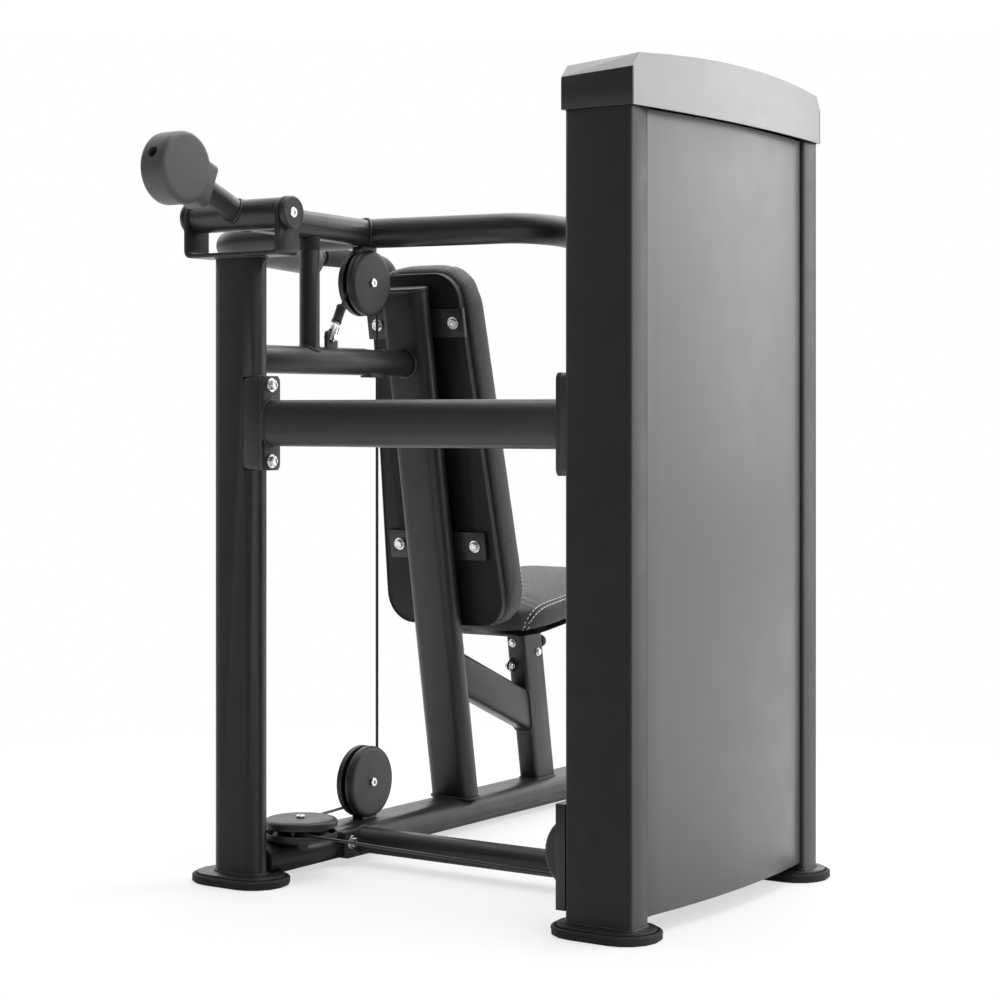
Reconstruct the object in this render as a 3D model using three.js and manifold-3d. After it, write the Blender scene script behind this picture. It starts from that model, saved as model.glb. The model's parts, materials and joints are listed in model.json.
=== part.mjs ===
// Shoulder press machine with a weight tower, in millimetres.
// X points from the rear column to the tower, Y the way the user faces, Z up.
// The sizes are worked out around the rear column; the last lines centre the whole on the floor.
import * as THREE from 'three';
import { mergeVertices } from 'three/addons/utils/BufferGeometryUtils.js';
import Module from 'manifold-3d';

const wasm = await Module();
wasm.setup();

// Shared clearances
const touch = 0.3;
const running = 0.15;
const weld = 1;
const mergeGap = 0.0001;
const overrun = 6;
const halfTurn = Math.PI;
const fullTurn = 2 * Math.PI;
const quarterTurn = Math.PI / 2;
const roundSides = 14;
const fineSides = 20;
const smallSides = 6;
const arcSteps = 4;
const cornerSteps = 3;
const bendStep = 0.28;
const handleStep = 0.4;

// Driving sizes of the frame
const lean = THREE.MathUtils.degToRad(9.65);
const flatTube = { wide: 110, deep: 52 };
const beam = { wide: 110, high: 60, bottom: 8, frontEnd: 1290 };
const foot = {
  long: 200,
  wide: 130,
  corner: 62,
  lip: 3.5,
  lipRise: 3,
  bootHigh: 11.7,
  plateTop: 20,
  inset: 9,
};
const frontFootY = 1222;
const pivot = { high: 1266, shaft: 12.5, tube: 30, halfLength: 107 };
const yoke = { inside: 108, sheet: 8, depth: 71, wide: 64, outerBend: 14, innerBend: 6, eyeRound: 32 };
const cap = { round: 31, thick: 13, chamfer: 3, stud: 6, studHead: 9, headHigh: 4, shaftReach: 6 };
const strut = { round: 27.5, high: 995, slotWide: 22, slotLong: 58, slotAhead: 14, rim: 3, drop: 4 };
const stopPost = { y: 207, round: 20, top: 1212, bumperTop: 1242 };
const lug = { y: 275, thick: 8, wide: 34, top: 1056, eyeHigh: 1042, eye: 5 };
const upright = { y: 706, long: 1100 };
const seatPost = { y: 1028, wide: 50, deep: 76, corner: 10, long: 340 };
const brace = {
  wide: 50,
  high: 82,
  corner: 14,
  rearY: 746,
  rearHigh: 317.5,
  frontY: 930,
  frontHigh: 240.5,
};

// Driving sizes of the tower
const tower = {
  x: 813,
  postWide: 134,
  postDeep: 58.6,
  corner: 8,
  length: 696,
  postTop: 1450,
  capBottom: 1409,
};
const frontPostY = tower.length - tower.postDeep;
const towerMidY = frontPostY / 2;
const plateMargin = 133;
const plateLong = tower.length - 2 * plateMargin;
const rodInset = 40;
const rodSpread = plateLong / 2 - rodInset;

// Flanges and bolts
const flange = { thick: 9.5, high: 178, wide: 66, corner: 12 };
const crossBeam = { high: 872, tall: 87, deep: 50 };
const baseTube = { y: 290, high: 45, round: 26 };
const baseFlange = { high: 54, wide: 116, thick: 9.5, corner: 8, bottom: 14, boltSpread: 38 };
const bolt = { shank: 6, washer: 13, washerHigh: 2.3, head: 10, headHigh: 7, hole: 6.3, grip: 26, sink: 1 };
const upperBoltSpread = 71.5;

// Cable and pulleys
const cable = { round: 3, tail: 2, sides: 6 };
const pulleyHalf = 21;
const groove = { half: 9, rim: 8, flank: 3.5, clear: 1.8, sides: 16 };
const cheek = { near: 10, thick: 4, half: 22 };
const shroud = { face: 14.3, lipNear: 6, lipWall: 4, chamfer: 8, slotHalf: 24 };
const axle = { round: 6, head: 9, headHigh: 5 };
const topPulley = { y: 385, high: 1155, track: 42, cover: 67 };
const basePulley = { y: 385, high: 142, track: 42, cover: 72 };
const flatPulley = { x: 50, y: 118, high: 90, track: 50, cover: 71, boss: 14, sunk: 20 };
const towerPulley = { x: 722, y: 68, high: 121, track: 45, cover: 68, plateY: 40 };
const headPulley = { high: 1385, track: 50 };

const paints = {
  frame: { color: 0x2b2d2f, roughness: 0.55, metalness: 0.2 },
  panel: { color: 0x6d6f72, roughness: 0.45, metalness: 0.5 },
  silver: { color: 0xb4b6b8, roughness: 0.35, metalness: 0.7 },
  zinc: { color: 0xd2d4d6, roughness: 0.25, metalness: 0.95 },
  steel: { color: 0xa8abae, roughness: 0.3, metalness: 0.9 },
  rubber: { color: 0x17181a, roughness: 0.85, metalness: 0 },
  plastic: { color: 0x1c1d1f, roughness: 0.5, metalness: 0 },
  leather: { color: 0x1d1d1f, roughness: 0.6, metalness: 0 },
  iron: { color: 0x26282a, roughness: 0.7, metalness: 0.4 },
  cable: { color: 0x121314, roughness: 0.5, metalness: 0 },
};

const v = (x, y, z) => new THREE.Vector3(x, y, z);

// A bore whose flats clear a round that turns in it
const boreAround = (radius, sides) => (radius + running) / Math.cos(halfTurn / sides);
const machine = new THREE.Group();

// Adds one named piece to a group, with a material of its own
function add(group, name, shape, paint) {
  const geometry = shape.isBufferGeometry ? shape : geometryOf(shape);
  const mesh = new THREE.Mesh(geometry, new THREE.MeshStandardMaterial(paint));
  mesh.name = name;
  group.add(mesh);
  return mesh;
}

// Turns a three.js geometry into a closed solid, facing outward
function solid(geometry) {
  const bare = new THREE.BufferGeometry();
  bare.setAttribute('position', geometry.getAttribute('position').clone());
  if (geometry.index) bare.setIndex(geometry.index.clone());
  const merged = mergeVertices(bare, mergeGap);
  const points = merged.getAttribute('position').array;
  const kept = [];
  let volume = 0;
  const [a, b, c] = [v(0, 0, 0), v(0, 0, 0), v(0, 0, 0)];
  for (let i = 0; i < merged.index.count; i += 3) {
    const corners = [0, 1, 2].map((step) => merged.index.getX(i + step));
    if (new Set(corners).size < 3) continue;
    kept.push(...corners);
    [a, b, c].forEach((corner, k) => corner.fromArray(points, corners[k] * 3));
    volume += a.dot(b.clone().cross(c));
  }
  if (volume < 0) kept.reverse();
  const mesh = { numProp: 3, vertProperties: new Float32Array(points), triVerts: new Uint32Array(kept) };
  return new wasm.Manifold(new wasm.Mesh(mesh));
}

function geometryOf(shape) {
  const mesh = shape.getMesh();
  const geometry = new THREE.BufferGeometry();
  geometry.setAttribute('position', new THREE.BufferAttribute(mesh.vertProperties, 3));
  geometry.setIndex(new THREE.BufferAttribute(mesh.triVerts, 1));
  geometry.computeVertexNormals();
  return geometry;
}

const joined = (shapes) => shapes.reduce((sum, shape) => sum.add(shape));
const cut = (shape, cutters) => cutters.reduce((rest, cutter) => rest.subtract(cutter), shape);
const moved = (shape, matrix) => solid(geometryOf(shape).applyMatrix4(matrix));

// A frame that stands at a point of the middle plane and leans back
function leaning(y, z) {
  const matrix = new THREE.Matrix4().makeRotationX(lean);
  return matrix.setPosition(0, y, z);
}

// Shapes to extrude
function roundedRect(wide, high, corner, steps = cornerSteps) {
  const [x, y] = [wide / 2 - corner, high / 2 - corner];
  const corners = [[x, -y, -quarterTurn], [x, y, 0], [-x, y, quarterTurn], [-x, -y, halfTurn]];
  const points = corners.flatMap(([cx, cy, start]) => Array.from({ length: steps + 1 }, (_, i) => {
    const turn = start + (quarterTurn * i) / steps;
    return new THREE.Vector2(cx + corner * Math.cos(turn), cy + corner * Math.sin(turn));
  }));
  return new THREE.Shape(points);
}

const obround = (wide, high) => roundedRect(wide, high, Math.min(wide, high) / 2, arcSteps);

// A straight bar of a drawn section from one point to another, its x axis along side
function bar(section, start, end, side) {
  const forward = end.clone().sub(start);
  const geometry = new THREE.ExtrudeGeometry(section, { depth: forward.length(), bevelEnabled: false });
  forward.normalize();
  const across = side.clone().addScaledVector(forward, -side.dot(forward)).normalize();
  const up = forward.clone().cross(across);
  geometry.applyMatrix4(new THREE.Matrix4().makeBasis(across, up, forward).setPosition(start));
  return solid(geometry);
}

function block(x0, x1, y0, y1, z0, z1) {
  const geometry = new THREE.BoxGeometry(x1 - x0, y1 - y0, z1 - z0);
  geometry.translate((x0 + x1) / 2, (y0 + y1) / 2, (z0 + z1) / 2);
  return solid(geometry);
}

// A profile of [radius, distance] turned about the line that leaves a point in a direction
function turned(profile, start, direction, sides = roundSides) {
  const points = profile.map(([radius, along]) => new THREE.Vector2(radius, along));
  const geometry = new THREE.LatheGeometry(points, sides);
  const turn = new THREE.Quaternion().setFromUnitVectors(v(0, 1, 0), direction.clone().normalize());
  geometry.applyQuaternion(turn).translate(start.x, start.y, start.z);
  return solid(geometry);
}

function rod(start, end, radius, sides = roundSides) {
  const direction = end.clone().sub(start);
  const long = direction.length();
  return turned([[0, 0], [radius, 0], [radius, long], [0, long]], start, direction, sides);
}

function ring(start, end, inner, outer, sides = roundSides) {
  const direction = end.clone().sub(start);
  const long = direction.length();
  return turned([[inner, 0], [outer, 0], [outer, long], [inner, long], [inner, 0]], start, direction,
    sides);
}

// Rings of points with equal counts, joined in order and closed at both ends
function layered(rings) {
  const count = rings[0].length;
  const positions = [];
  const triangles = [];
  rings.forEach((points) => points.forEach((point) => positions.push(point.x, point.y, point.z)));
  for (let i = 0; i < rings.length - 1; i += 1) {
    for (let k = 0; k < count; k += 1) {
      const [a, b] = [i * count + k, i * count + ((k + 1) % count)];
      triangles.push(a, b, b + count, a, b + count, a + count);
    }
  }
  [rings[0], rings[rings.length - 1]].forEach((points, end) => {
    const centre = points.reduce((sum, point) => sum.add(point), v(0, 0, 0)).divideScalar(count);
    const middle = positions.length / 3;
    positions.push(centre.x, centre.y, centre.z);
    const base = end * (rings.length - 1) * count;
    for (let k = 0; k < count; k += 1) {
      const pair = [base + k, base + ((k + 1) % count)];
      if (end === 0) pair.reverse();
      triangles.push(middle, ...pair);
    }
  });
  const geometry = new THREE.BufferGeometry();
  geometry.setAttribute('position', new THREE.Float32BufferAttribute(positions, 3));
  geometry.setIndex(triangles);
  return solid(geometry);
}

// The points of a path through corners, each rounded with its own radius
function bentPath(corners, radii, stepAngle = bendStep) {
  const path = [corners[0].clone()];
  for (let i = 1; i < corners.length - 1; i += 1) {
    const arriving = corners[i].clone().sub(corners[i - 1]).normalize();
    const leaving = corners[i + 1].clone().sub(corners[i]).normalize();
    const turn = arriving.angleTo(leaving);
    const reach = radii[i - 1] * Math.tan(turn / 2);
    const inward = leaving.clone().sub(arriving).normalize();
    const centre = corners[i].clone().addScaledVector(inward, radii[i - 1] / Math.cos(turn / 2));
    const from = corners[i].clone().addScaledVector(arriving, -reach).sub(centre);
    const spin = arriving.clone().cross(leaving).normalize();
    const steps = Math.max(2, Math.ceil(turn / stepAngle));
    for (let k = 0; k <= steps; k += 1) {
      path.push(from.clone().applyAxisAngle(spin, (turn * k) / steps).add(centre));
    }
  }
  path.push(corners[corners.length - 1].clone());
  return path;
}

// A round tube through the points of a path
function tubeAlong(path, radius, sides = roundSides) {
  const tangents = path.map((point, i) => {
    const sum = v(0, 0, 0);
    if (i > 0) sum.add(point.clone().sub(path[i - 1]).normalize());
    if (i < path.length - 1) sum.add(path[i + 1].clone().sub(point).normalize());
    return sum.normalize();
  });
  const across = Math.abs(tangents[0].z) < Math.SQRT1_2 ? v(0, 0, 1) : v(1, 0, 0);
  const rings = path.map((point, i) => {
    across.addScaledVector(tangents[i], -across.dot(tangents[i])).normalize();
    const up = tangents[i].clone().cross(across);
    return Array.from({ length: sides }, (_, k) => {
      const turn = (fullTurn * k) / sides;
      const rim = point.clone().addScaledVector(across, radius * Math.cos(turn));
      return rim.addScaledVector(up, radius * Math.sin(turn));
    });
  });
  return layered(rings);
}

// A bolt: the point lies on the clamped face, the head stands out along the direction
function boltShape(point, direction, grip, seat) {
  const out = direction.clone().normalize();
  const along = (distance) => point.clone().addScaledVector(out, distance);
  const washer = rod(along(seat), along(bolt.washerHigh), bolt.washer, 2 * smallSides);
  const head = rod(along(bolt.washerHigh / 2), along(bolt.washerHigh + bolt.headHigh), bolt.head, 6);
  const shank = rod(along(-grip), along(bolt.washerHigh), bolt.shank, smallSides);
  return joined([shank, washer, head]);
}

function boltHole(point, direction, grip) {
  const out = direction.clone().normalize();
  const start = point.clone().addScaledVector(out, -grip - touch);
  return rod(start, point.clone().addScaledVector(out, overrun), bolt.hole, smallSides);
}

// A row of like bolts, joined to the piece that they hold, and the holes that they need in the next
function boltRow(points, direction, grip, seat) {
  const bodies = points.map((point) => boltShape(point, direction, grip, seat));
  const holes = points.map((point) => boltHole(point, direction, grip));
  return { bodies, holes };
}

// Rubber boot and welded foot plate around a point of the floor
function bootRing(x, y, z, inset) {
  const outline = roundedRect(foot.long - 2 * inset, foot.wide - 2 * inset, foot.corner - inset, arcSteps);
  return outline.getPoints().map((point) => v(x + point.x, y + point.y, z));
}

function boot(x, y) {
  const lipTop = foot.bootHigh - foot.lipRise;
  return layered([
    bootRing(x, y, 0, foot.lip),
    bootRing(x, y, foot.lipRise, 0),
    bootRing(x, y, lipTop, 0),
    bootRing(x, y, foot.bootHigh, foot.lip),
  ]);
}

function footPlate(x, y) {
  const bottom = foot.bootHigh + touch;
  return layered([bootRing(x, y, bottom, foot.inset), bootRing(x, y, foot.plateTop, foot.inset)]);
}

// Rear column, its yoke and the pivot
const columnTop = pivot.high - yoke.depth - yoke.sheet - touch;
const columnFront = flatTube.deep / 2;
const columnSide = flatTube.wide / 2;
const columnFlangeFace = columnSide + flange.thick;
const beamRear = columnFront + touch;
const beamTop = beam.bottom + beam.high;
const xSide = v(1, 0, 0);
const rearSide = v(0, -1, 0);
const ySide = v(0, 1, 0);
const zUp = v(0, 0, 1);

function beamSolid(grow) {
  const section = obround(beam.wide + 2 * grow, beam.high + 2 * grow);
  const middle = beam.bottom + beam.high / 2;
  return bar(section, v(0, beamRear - grow, middle), v(0, beam.frontEnd + grow, middle), xSide);
}

function flangePlate(x0, x1, y, z, sizes) {
  return bar(roundedRect(sizes.wide, sizes.high, sizes.corner), v(x0, y, z), v(x1, y, z), ySide);
}

const upperBeamFlangeX = columnFlangeFace + touch;
const upperBeamBoltX = upperBeamFlangeX + flange.thick;
const upperColumnBolts = [1, -1].map((side) => v(upperBeamBoltX, 0,
  crossBeam.high + side * upperBoltSpread));
const upperColumnRow = boltRow(upperColumnBolts, xSide, bolt.grip, -bolt.sink);

function buildColumn() {
  const tube = bar(obround(flatTube.wide, flatTube.deep), v(0, 0, foot.bootHigh + touch),
    v(0, 0, columnTop), xSide);
  const plate = cut(footPlate(0, 0), [beamSolid(touch)]);
  const welded = flangePlate(columnSide / 2, columnFlangeFace, 0, crossBeam.high, flange);
  return cut(joined([tube, plate, welded]), upperColumnRow.holes);
}

function buildYoke() {
  const outer = yoke.inside + yoke.sheet;
  const floor = pivot.high - yoke.depth;
  const height = yoke.depth + yoke.eyeRound;
  const outerSection = roundedRect(2 * outer, 2 * (height + yoke.sheet), yoke.outerBend);
  const innerSection = roundedRect(2 * yoke.inside, 2 * height, yoke.innerBend);
  const top = floor + height;
  const half = yoke.wide / 2;
  const body = bar(outerSection, v(0, half, top), v(0, -half, top), xSide);
  const hollow = bar(innerSection, v(0, half + overrun, top), v(0, -half - overrun, top), xSide);
  const above = block(-2 * outer, 2 * outer, -yoke.wide, yoke.wide, pivot.high, 2 * pivot.high);
  const eyes = rod(v(-outer, 0, pivot.high), v(outer, 0, pivot.high), yoke.eyeRound, fineSides);
  const bore = rod(v(-outer - overrun, 0, pivot.high), v(outer + overrun, 0, pivot.high),
    pivot.shaft + touch);
  const ears = cut(eyes, [hollow]);
  return cut(joined([cut(body, [hollow, above]), ears]), [bore]);
}

// Shaft with a stud and a head at each end, turned along X
const earOuter = yoke.inside + yoke.sheet;
const capInner = earOuter + touch;
const capOuter = capInner + cap.thick;

function buildShaft() {
  const half = [
    [pivot.shaft, earOuter + cap.shaftReach],
    [cap.stud, earOuter + cap.shaftReach],
    [cap.stud, capOuter + touch],
    [cap.studHead, capOuter + touch],
    [cap.studHead, capOuter + touch + cap.headHigh],
    [0, capOuter + touch + cap.headHigh],
  ];
  const mirrored = half.map(([radius, along]) => [radius, -along]).reverse();
  return turned([...mirrored, ...half], v(0, 0, pivot.high), xSide);
}

function buildPivotCap(side) {
  const recess = cap.shaftReach + touch;
  const profile = [
    [pivot.shaft + touch, 0],
    [cap.round, 0],
    [cap.round, cap.thick - cap.chamfer],
    [cap.round - cap.chamfer, cap.thick],
    [cap.stud + touch, cap.thick],
    [cap.stud + touch, recess],
    [pivot.shaft + touch, recess],
    [pivot.shaft + touch, 0],
  ];
  return turned(profile, v(side * capInner, 0, pivot.high), v(side, 0, 0), fineSides);
}

add(machine, 'rear_column', buildColumn(), paints.frame);
add(machine, 'pivot_yoke', buildYoke(), paints.frame);
add(machine, 'pivot_shaft', buildShaft(), paints.zinc);
add(machine, 'pivot_cap_right', buildPivotCap(1), paints.plastic);
add(machine, 'pivot_cap_left', buildPivotCap(-1), paints.plastic);

// Upper cross beam from the column to the tower
const postInner = tower.x - tower.postWide / 2;
const postOuter = tower.x + tower.postWide / 2;
const towerFlangeFace = postInner - flange.thick;
const beamFarFace = towerFlangeFace - touch;
const beamFarBolt = beamFarFace - flange.thick;
const upperTowerBolts = [1, -1].map((side) => v(beamFarBolt, 0, crossBeam.high + side * upperBoltSpread));
const upperTowerRow = boltRow(upperTowerBolts, xSide.clone().negate(), bolt.grip, -bolt.sink);

function buildCrossBeam() {
  const section = obround(crossBeam.tall, crossBeam.deep);
  const tube = bar(section, v(upperBeamFlangeX, 0, crossBeam.high), v(beamFarFace, 0, crossBeam.high), zUp);
  const near = flangePlate(upperBeamFlangeX, upperBeamBoltX, 0, crossBeam.high, flange);
  const far = flangePlate(beamFarBolt, beamFarFace, 0, crossBeam.high, flange);
  return joined([tube, near, far, ...upperColumnRow.bodies, ...upperTowerRow.bodies]);
}

add(machine, 'upper_cross_beam', buildCrossBeam(), paints.frame);

// Main beam along the floor with the flange that takes the base cross tube
const baseFlangeFace = beam.wide / 2 + baseFlange.thick / 2;
const baseTubeFlangeX = baseFlangeFace + touch;
const baseBoltX = baseTubeFlangeX + baseFlange.thick;
const baseFlangeHigh = baseFlange.bottom + baseFlange.high / 2;
const baseSides = [1, -1].map((side) => baseTube.y + side * baseFlange.boltSpread);
const baseRow = boltRow(baseSides.map((y) => v(baseBoltX, y, baseTube.high)), xSide, bolt.grip, -bolt.sink);
const towerBeam = { wide: 60, bottom: 20.3, high: 60 };
const towerBeamInner = tower.x - towerBeam.wide / 2;
const tubeFarFace = towerBeamInner - touch;
const tubeFarBolt = tubeFarFace - baseFlange.thick;
const baseFarPoints = baseSides.map((y) => v(tubeFarBolt, y, baseTube.high));
const baseFarRow = boltRow(baseFarPoints, xSide.clone().negate(), bolt.grip, -bolt.sink);
const flatAxleFoot = beamTop - flatPulley.sunk;

function buildMainBeam() {
  const welded = flangePlate(beam.wide / 4, baseFlangeFace, baseTube.y, baseFlangeHigh, baseFlange);
  const stand = flatPulley.high - pulleyHalf - touch;
  const boss = rod(v(flatPulley.x, flatPulley.y, flatAxleFoot), v(flatPulley.x, flatPulley.y, stand),
    flatPulley.boss);
  const axleHole = rod(v(flatPulley.x, flatPulley.y, flatAxleFoot - touch),
    v(flatPulley.x, flatPulley.y, stand + overrun), axle.round + touch, 2 * smallSides);
  const front = footPlate(0, frontFootY);
  const whole = joined([beamSolid(0), front, welded, boss, moved(strapPair(baseReach), baseFrame)]);
  return cut(whole, [...baseRow.holes, axleHole]);
}

function buildBaseTube() {
  const tube = rod(v(baseTubeFlangeX, baseTube.y, baseTube.high),
    v(tubeFarFace, baseTube.y, baseTube.high), baseTube.round);
  const near = flangePlate(baseTubeFlangeX, baseBoltX, baseTube.y, baseFlangeHigh, baseFlange);
  const far = flangePlate(tubeFarBolt, tubeFarFace, baseTube.y, baseFlangeHigh, baseFlange);
  return joined([tube, near, far, ...baseRow.bodies, ...baseFarRow.bodies]);
}

add(machine, 'base_cross_tube', buildBaseTube(), paints.frame);

// Leaning back upright with the tabs that carry the back pad
const uprightFoot = beam.bottom + beam.high + touch;
const uprightFrame = leaning(upright.y, beamTop);
const upperTabBelow = 80;
const lowerTabDrop = 4;
const pad = {
  rear: 32,
  tabThick: 8,
  tabHigh: 60,
  boltX: 98,
  tabHalf: 124,
  upperBolt: upright.long - upperTabBelow,
  lowerBolt: upright.long / 2 - lowerTabDrop,
  boltGrip: 16,
};
const padBoltFace = pad.rear - pad.tabThick;
const padBoltPoints = [pad.upperBolt, pad.lowerBolt].flatMap((z) =>
  [1, -1].map((side) => v(side * pad.boltX, padBoltFace, z).applyMatrix4(uprightFrame)));
const leanRear = v(0, -Math.cos(lean), -Math.sin(lean));
const padRow = boltRow(padBoltPoints, leanRear, pad.boltGrip, touch);
const toUpright = uprightFrame.clone().invert();

function uprightSolid(grow) {
  const section = obround(flatTube.wide + 2 * grow, flatTube.deep + 2 * grow);
  return bar(section, v(0, 0, -flatTube.deep), v(0, 0, upright.long), xSide);
}

const floorCut = block(-beam.wide, beam.wide, 0, 2 * beam.frontEnd, -beam.frontEnd, uprightFoot);

function buildUpright() {
  const tabs = [pad.upperBolt, pad.lowerBolt].map((z) => block(-pad.tabHalf, pad.tabHalf, padBoltFace,
    pad.rear,
    z - pad.tabHigh / 2, z + pad.tabHigh / 2));
  const cutters = [floorCut, ...padRow.holes].map((cutter) => moved(cutter, toUpright));
  return cut(joined([uprightSolid(0), ...tabs]), cutters);
}

const uprightGroup = new THREE.Group();
uprightGroup.position.set(0, upright.y, beamTop);
uprightGroup.rotation.x = lean;
machine.add(uprightGroup);
add(uprightGroup, 'back_upright', buildUpright(), paints.frame);

// Strut to the upright with the stop post, the cable lug and the cable's rimmed slot
function buildStrut() {
  const endY = upright.y - Math.tan(lean) * (strut.high - beamTop);
  const tube = rod(v(0, columnFront + touch, strut.high), v(0, endY, strut.high), strut.round);
  const post = rod(v(0, stopPost.y, strut.high), v(0, stopPost.y, stopPost.top), stopPost.round);
  const plate = bar(roundedRect(lug.wide, 2 * (lug.top - strut.high), lug.wide / 4),
    v(-lug.thick / 2, lug.y, strut.high), v(lug.thick / 2, lug.y, strut.high), ySide);
  const eye = rod(v(-lug.wide, lug.y, lug.eyeHigh), v(lug.wide, lug.y, lug.eyeHigh), lug.eye + touch,
    smallSides);
  const slotY = basePulley.y + basePulley.track + strut.slotAhead - strut.slotLong / 2;
  const under = strut.high - strut.round - strut.drop;
  const rimShape = obround(strut.slotWide + 2 * strut.rim, strut.slotLong + 2 * strut.rim);
  const rim = bar(rimShape, v(0, slotY, under), v(0, slotY, strut.high), xSide);
  const slot = bar(obround(strut.slotWide, strut.slotLong), v(0, slotY, lug.thick),
    v(0, slotY, pivot.high), xSide);
  const below = block(-strut.round, strut.round, 0, lug.y * 2, 0, strut.high - strut.round / 2);
  const ear = cut(plate, [below, eye]);
  return cut(joined([tube, post, ear, rim]), [moved(uprightSolid(touch), uprightFrame), slot]);
}

add(machine, 'strut', buildStrut(), paints.frame);

// Press arm: pivot tube, neck, bow with its handles, counterweight, pulley bracket
const neck = { round: 28, endY: 400, endHigh: 1257 };
const bow = {
  round: 30,
  halfWide: 420,
  bend: 90,
  sideHigh: 1252,
  endY: 745,
  endHigh: 1232.5,
  middleBend: 900,
};
const handle = {
  round: 16,
  high: 1246.5,
  reachY: 1045,
  dropHigh: 1156.5,
  halfWide: 545,
  bend: 60,
  elbow: 30,
  root: 22,
  sides: 10,
};
const grip = { round: 21, start: 772, end: 976, edge: 5 };
const pivotPoint = v(0, 0, pivot.high);
const neckEnd = v(0, neck.endY, neck.endHigh);

const bowCorners = [
  v(-bow.halfWide, bow.endY, bow.endHigh),
  v(-bow.halfWide, neck.endY, bow.sideHigh),
  neckEnd,
  v(bow.halfWide, neck.endY, bow.sideHigh),
  v(bow.halfWide, bow.endY, bow.endHigh),
];
const bowPath = bentPath(bowCorners, [bow.bend, bow.middleBend, bow.bend]);

function pivotTubeSolid(radius) {
  return rod(v(-pivot.halfLength, 0, pivot.high), v(pivot.halfLength, 0, pivot.high), radius, fineSides);
}

function handleTube(side) {
  const corners = [
    v(side * bow.halfWide, bow.endY - handle.root, handle.high),
    v(side * bow.halfWide, handle.reachY, handle.high),
    v(side * bow.halfWide, handle.reachY, handle.dropHigh),
    v(side * handle.halfWide, handle.reachY, handle.dropHigh),
  ];
  return tubeAlong(bentPath(corners, [handle.bend, handle.elbow], handleStep), handle.round, handle.sides);
}

// The grip sleeve on the straight length of each handle
function handGrip(side) {
  const inner = boreAround(handle.round + running, roundSides);
  const long = grip.end - grip.start;
  return turned([
    [inner, 0],
    [grip.round - grip.edge / 2, 0],
    [grip.round, grip.edge],
    [grip.round, long - grip.edge],
    [grip.round - grip.edge / 2, long],
    [inner, long],
    [inner, 0],
  ], v(side * bow.halfWide, grip.start, handle.high), ySide);
}

const counter = {
  tilt: THREE.MathUtils.degToRad(22),
  armRound: 22.5,
  collarNear: 118,
  collarRound: 46,
  discAway: 198,
  discRound: 67,
  discHalf: 30,
  edge: 7,
  holeRound: 11,
  holeDeep: 30,
};
const pivotBore = boreAround(pivot.shaft, fineSides);
const counterWay = v(0, -Math.cos(counter.tilt), Math.sin(counter.tilt));
const alongCounter = (distance) => pivotPoint.clone().addScaledVector(counterWay, distance);

function buildCounterArm() {
  const arm = rod(pivotPoint, alongCounter(counter.collarNear - touch), counter.armRound);
  return cut(arm, [pivotTubeSolid((pivotBore + pivot.tube) / 2)]);
}

function buildCounterweight() {
  const centre = alongCounter(counter.discAway);
  const edgeShares = [0, 0.5, 1];
  const rim = edgeShares.map((share) => [
    counter.discRound - counter.edge * (1 - Math.sin(share * quarterTurn)),
    counter.discHalf - counter.edge * (1 - Math.cos(share * quarterTurn)),
  ]);
  const front = [[0, counter.discHalf], ...rim];
  const back = front.map(([radius, along]) => [radius, -along]).reverse();
  const disc = turned([...front, ...back], centre, xSide, fineSides);
  const collar = rod(alongCounter(counter.collarNear), centre, counter.collarRound, fineSides);
  const far = counter.discAway + counter.discRound;
  const hole = rod(alongCounter(far - counter.holeDeep), alongCounter(far + overrun), counter.holeRound);
  return cut(joined([disc, collar]), [hole]);
}

function buildNeck() {
  const tube = rod(pivotPoint, neckEnd, neck.round);
  return cut(tube, [pivotTubeSolid(pivot.tube + touch), tubeAlong(bowPath, bow.round + touch)]);
}

const pivotTube = ring(v(-pivot.halfLength, 0, pivot.high), v(pivot.halfLength, 0, pivot.high),
  pivotBore, pivot.tube, fineSides);
add(machine, 'press_pivot_tube', pivotTube.add(buildCounterArm()), paints.frame);
add(machine, 'press_neck_tube', buildNeck(), paints.frame);
add(machine, 'left_hand_grip', handGrip(-1), paints.rubber);
add(machine, 'right_hand_grip', handGrip(1), paints.rubber);
add(machine, 'counterweight', buildCounterweight(), paints.iron);

// Rubber bumper on the stop post, hollowed to the neck that rests on it
function buildBumper() {
  const block0 = rod(v(0, stopPost.y, stopPost.top + touch), v(0, stopPost.y, stopPost.bumperTop),
    stopPost.round);
  return cut(block0, [rod(pivotPoint, neckEnd, neck.round + touch)]);
}

add(machine, 'stop_bumper', buildBumper(), paints.rubber);

// Pulleys, drawn around their own axle along X with the strap hanging down
function sheaveSolid(track) {
  const floor = track - cable.round - groove.clear;
  const rim = floor + groove.rim;
  const bore = boreAround(axle.round, groove.sides);
  return turned([
    [bore, -groove.half],
    [rim, -groove.half],
    [floor, -groove.flank],
    [floor, groove.flank],
    [rim, groove.half],
    [bore, groove.half],
    [bore, -groove.half],
  ], v(0, 0, 0), xSide, groove.sides);
}

// Two cover discs with the bolt that clamps them, its head outside one or both of them
function coverSolid(coverRound, strapped, from, headAtStart) {
  const inside = coverRound - shroud.lipWall;
  const profile = [
    [axle.round / 2, shroud.face],
    [inside, shroud.face],
    [inside, shroud.lipNear],
    [coverRound, shroud.lipNear],
    [coverRound, pulleyHalf - shroud.chamfer / 2],
    [coverRound - shroud.chamfer, pulleyHalf],
    [axle.round / 2, pulleyHalf],
    [axle.round / 2, shroud.face],
  ];
  const pair = joined([1, -1].map((side) => turned(profile, v(0, 0, 0), v(side, 0, 0), fineSides)));
  const whole = pair.add(axleSolid(from, pulleyHalf, headAtStart));
  if (!strapped) return whole;
  return cut(whole, [block(-shroud.face, shroud.face, -shroud.slotHalf, shroud.slotHalf,
    -2 * coverRound, -axle.head)]);
}

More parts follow.
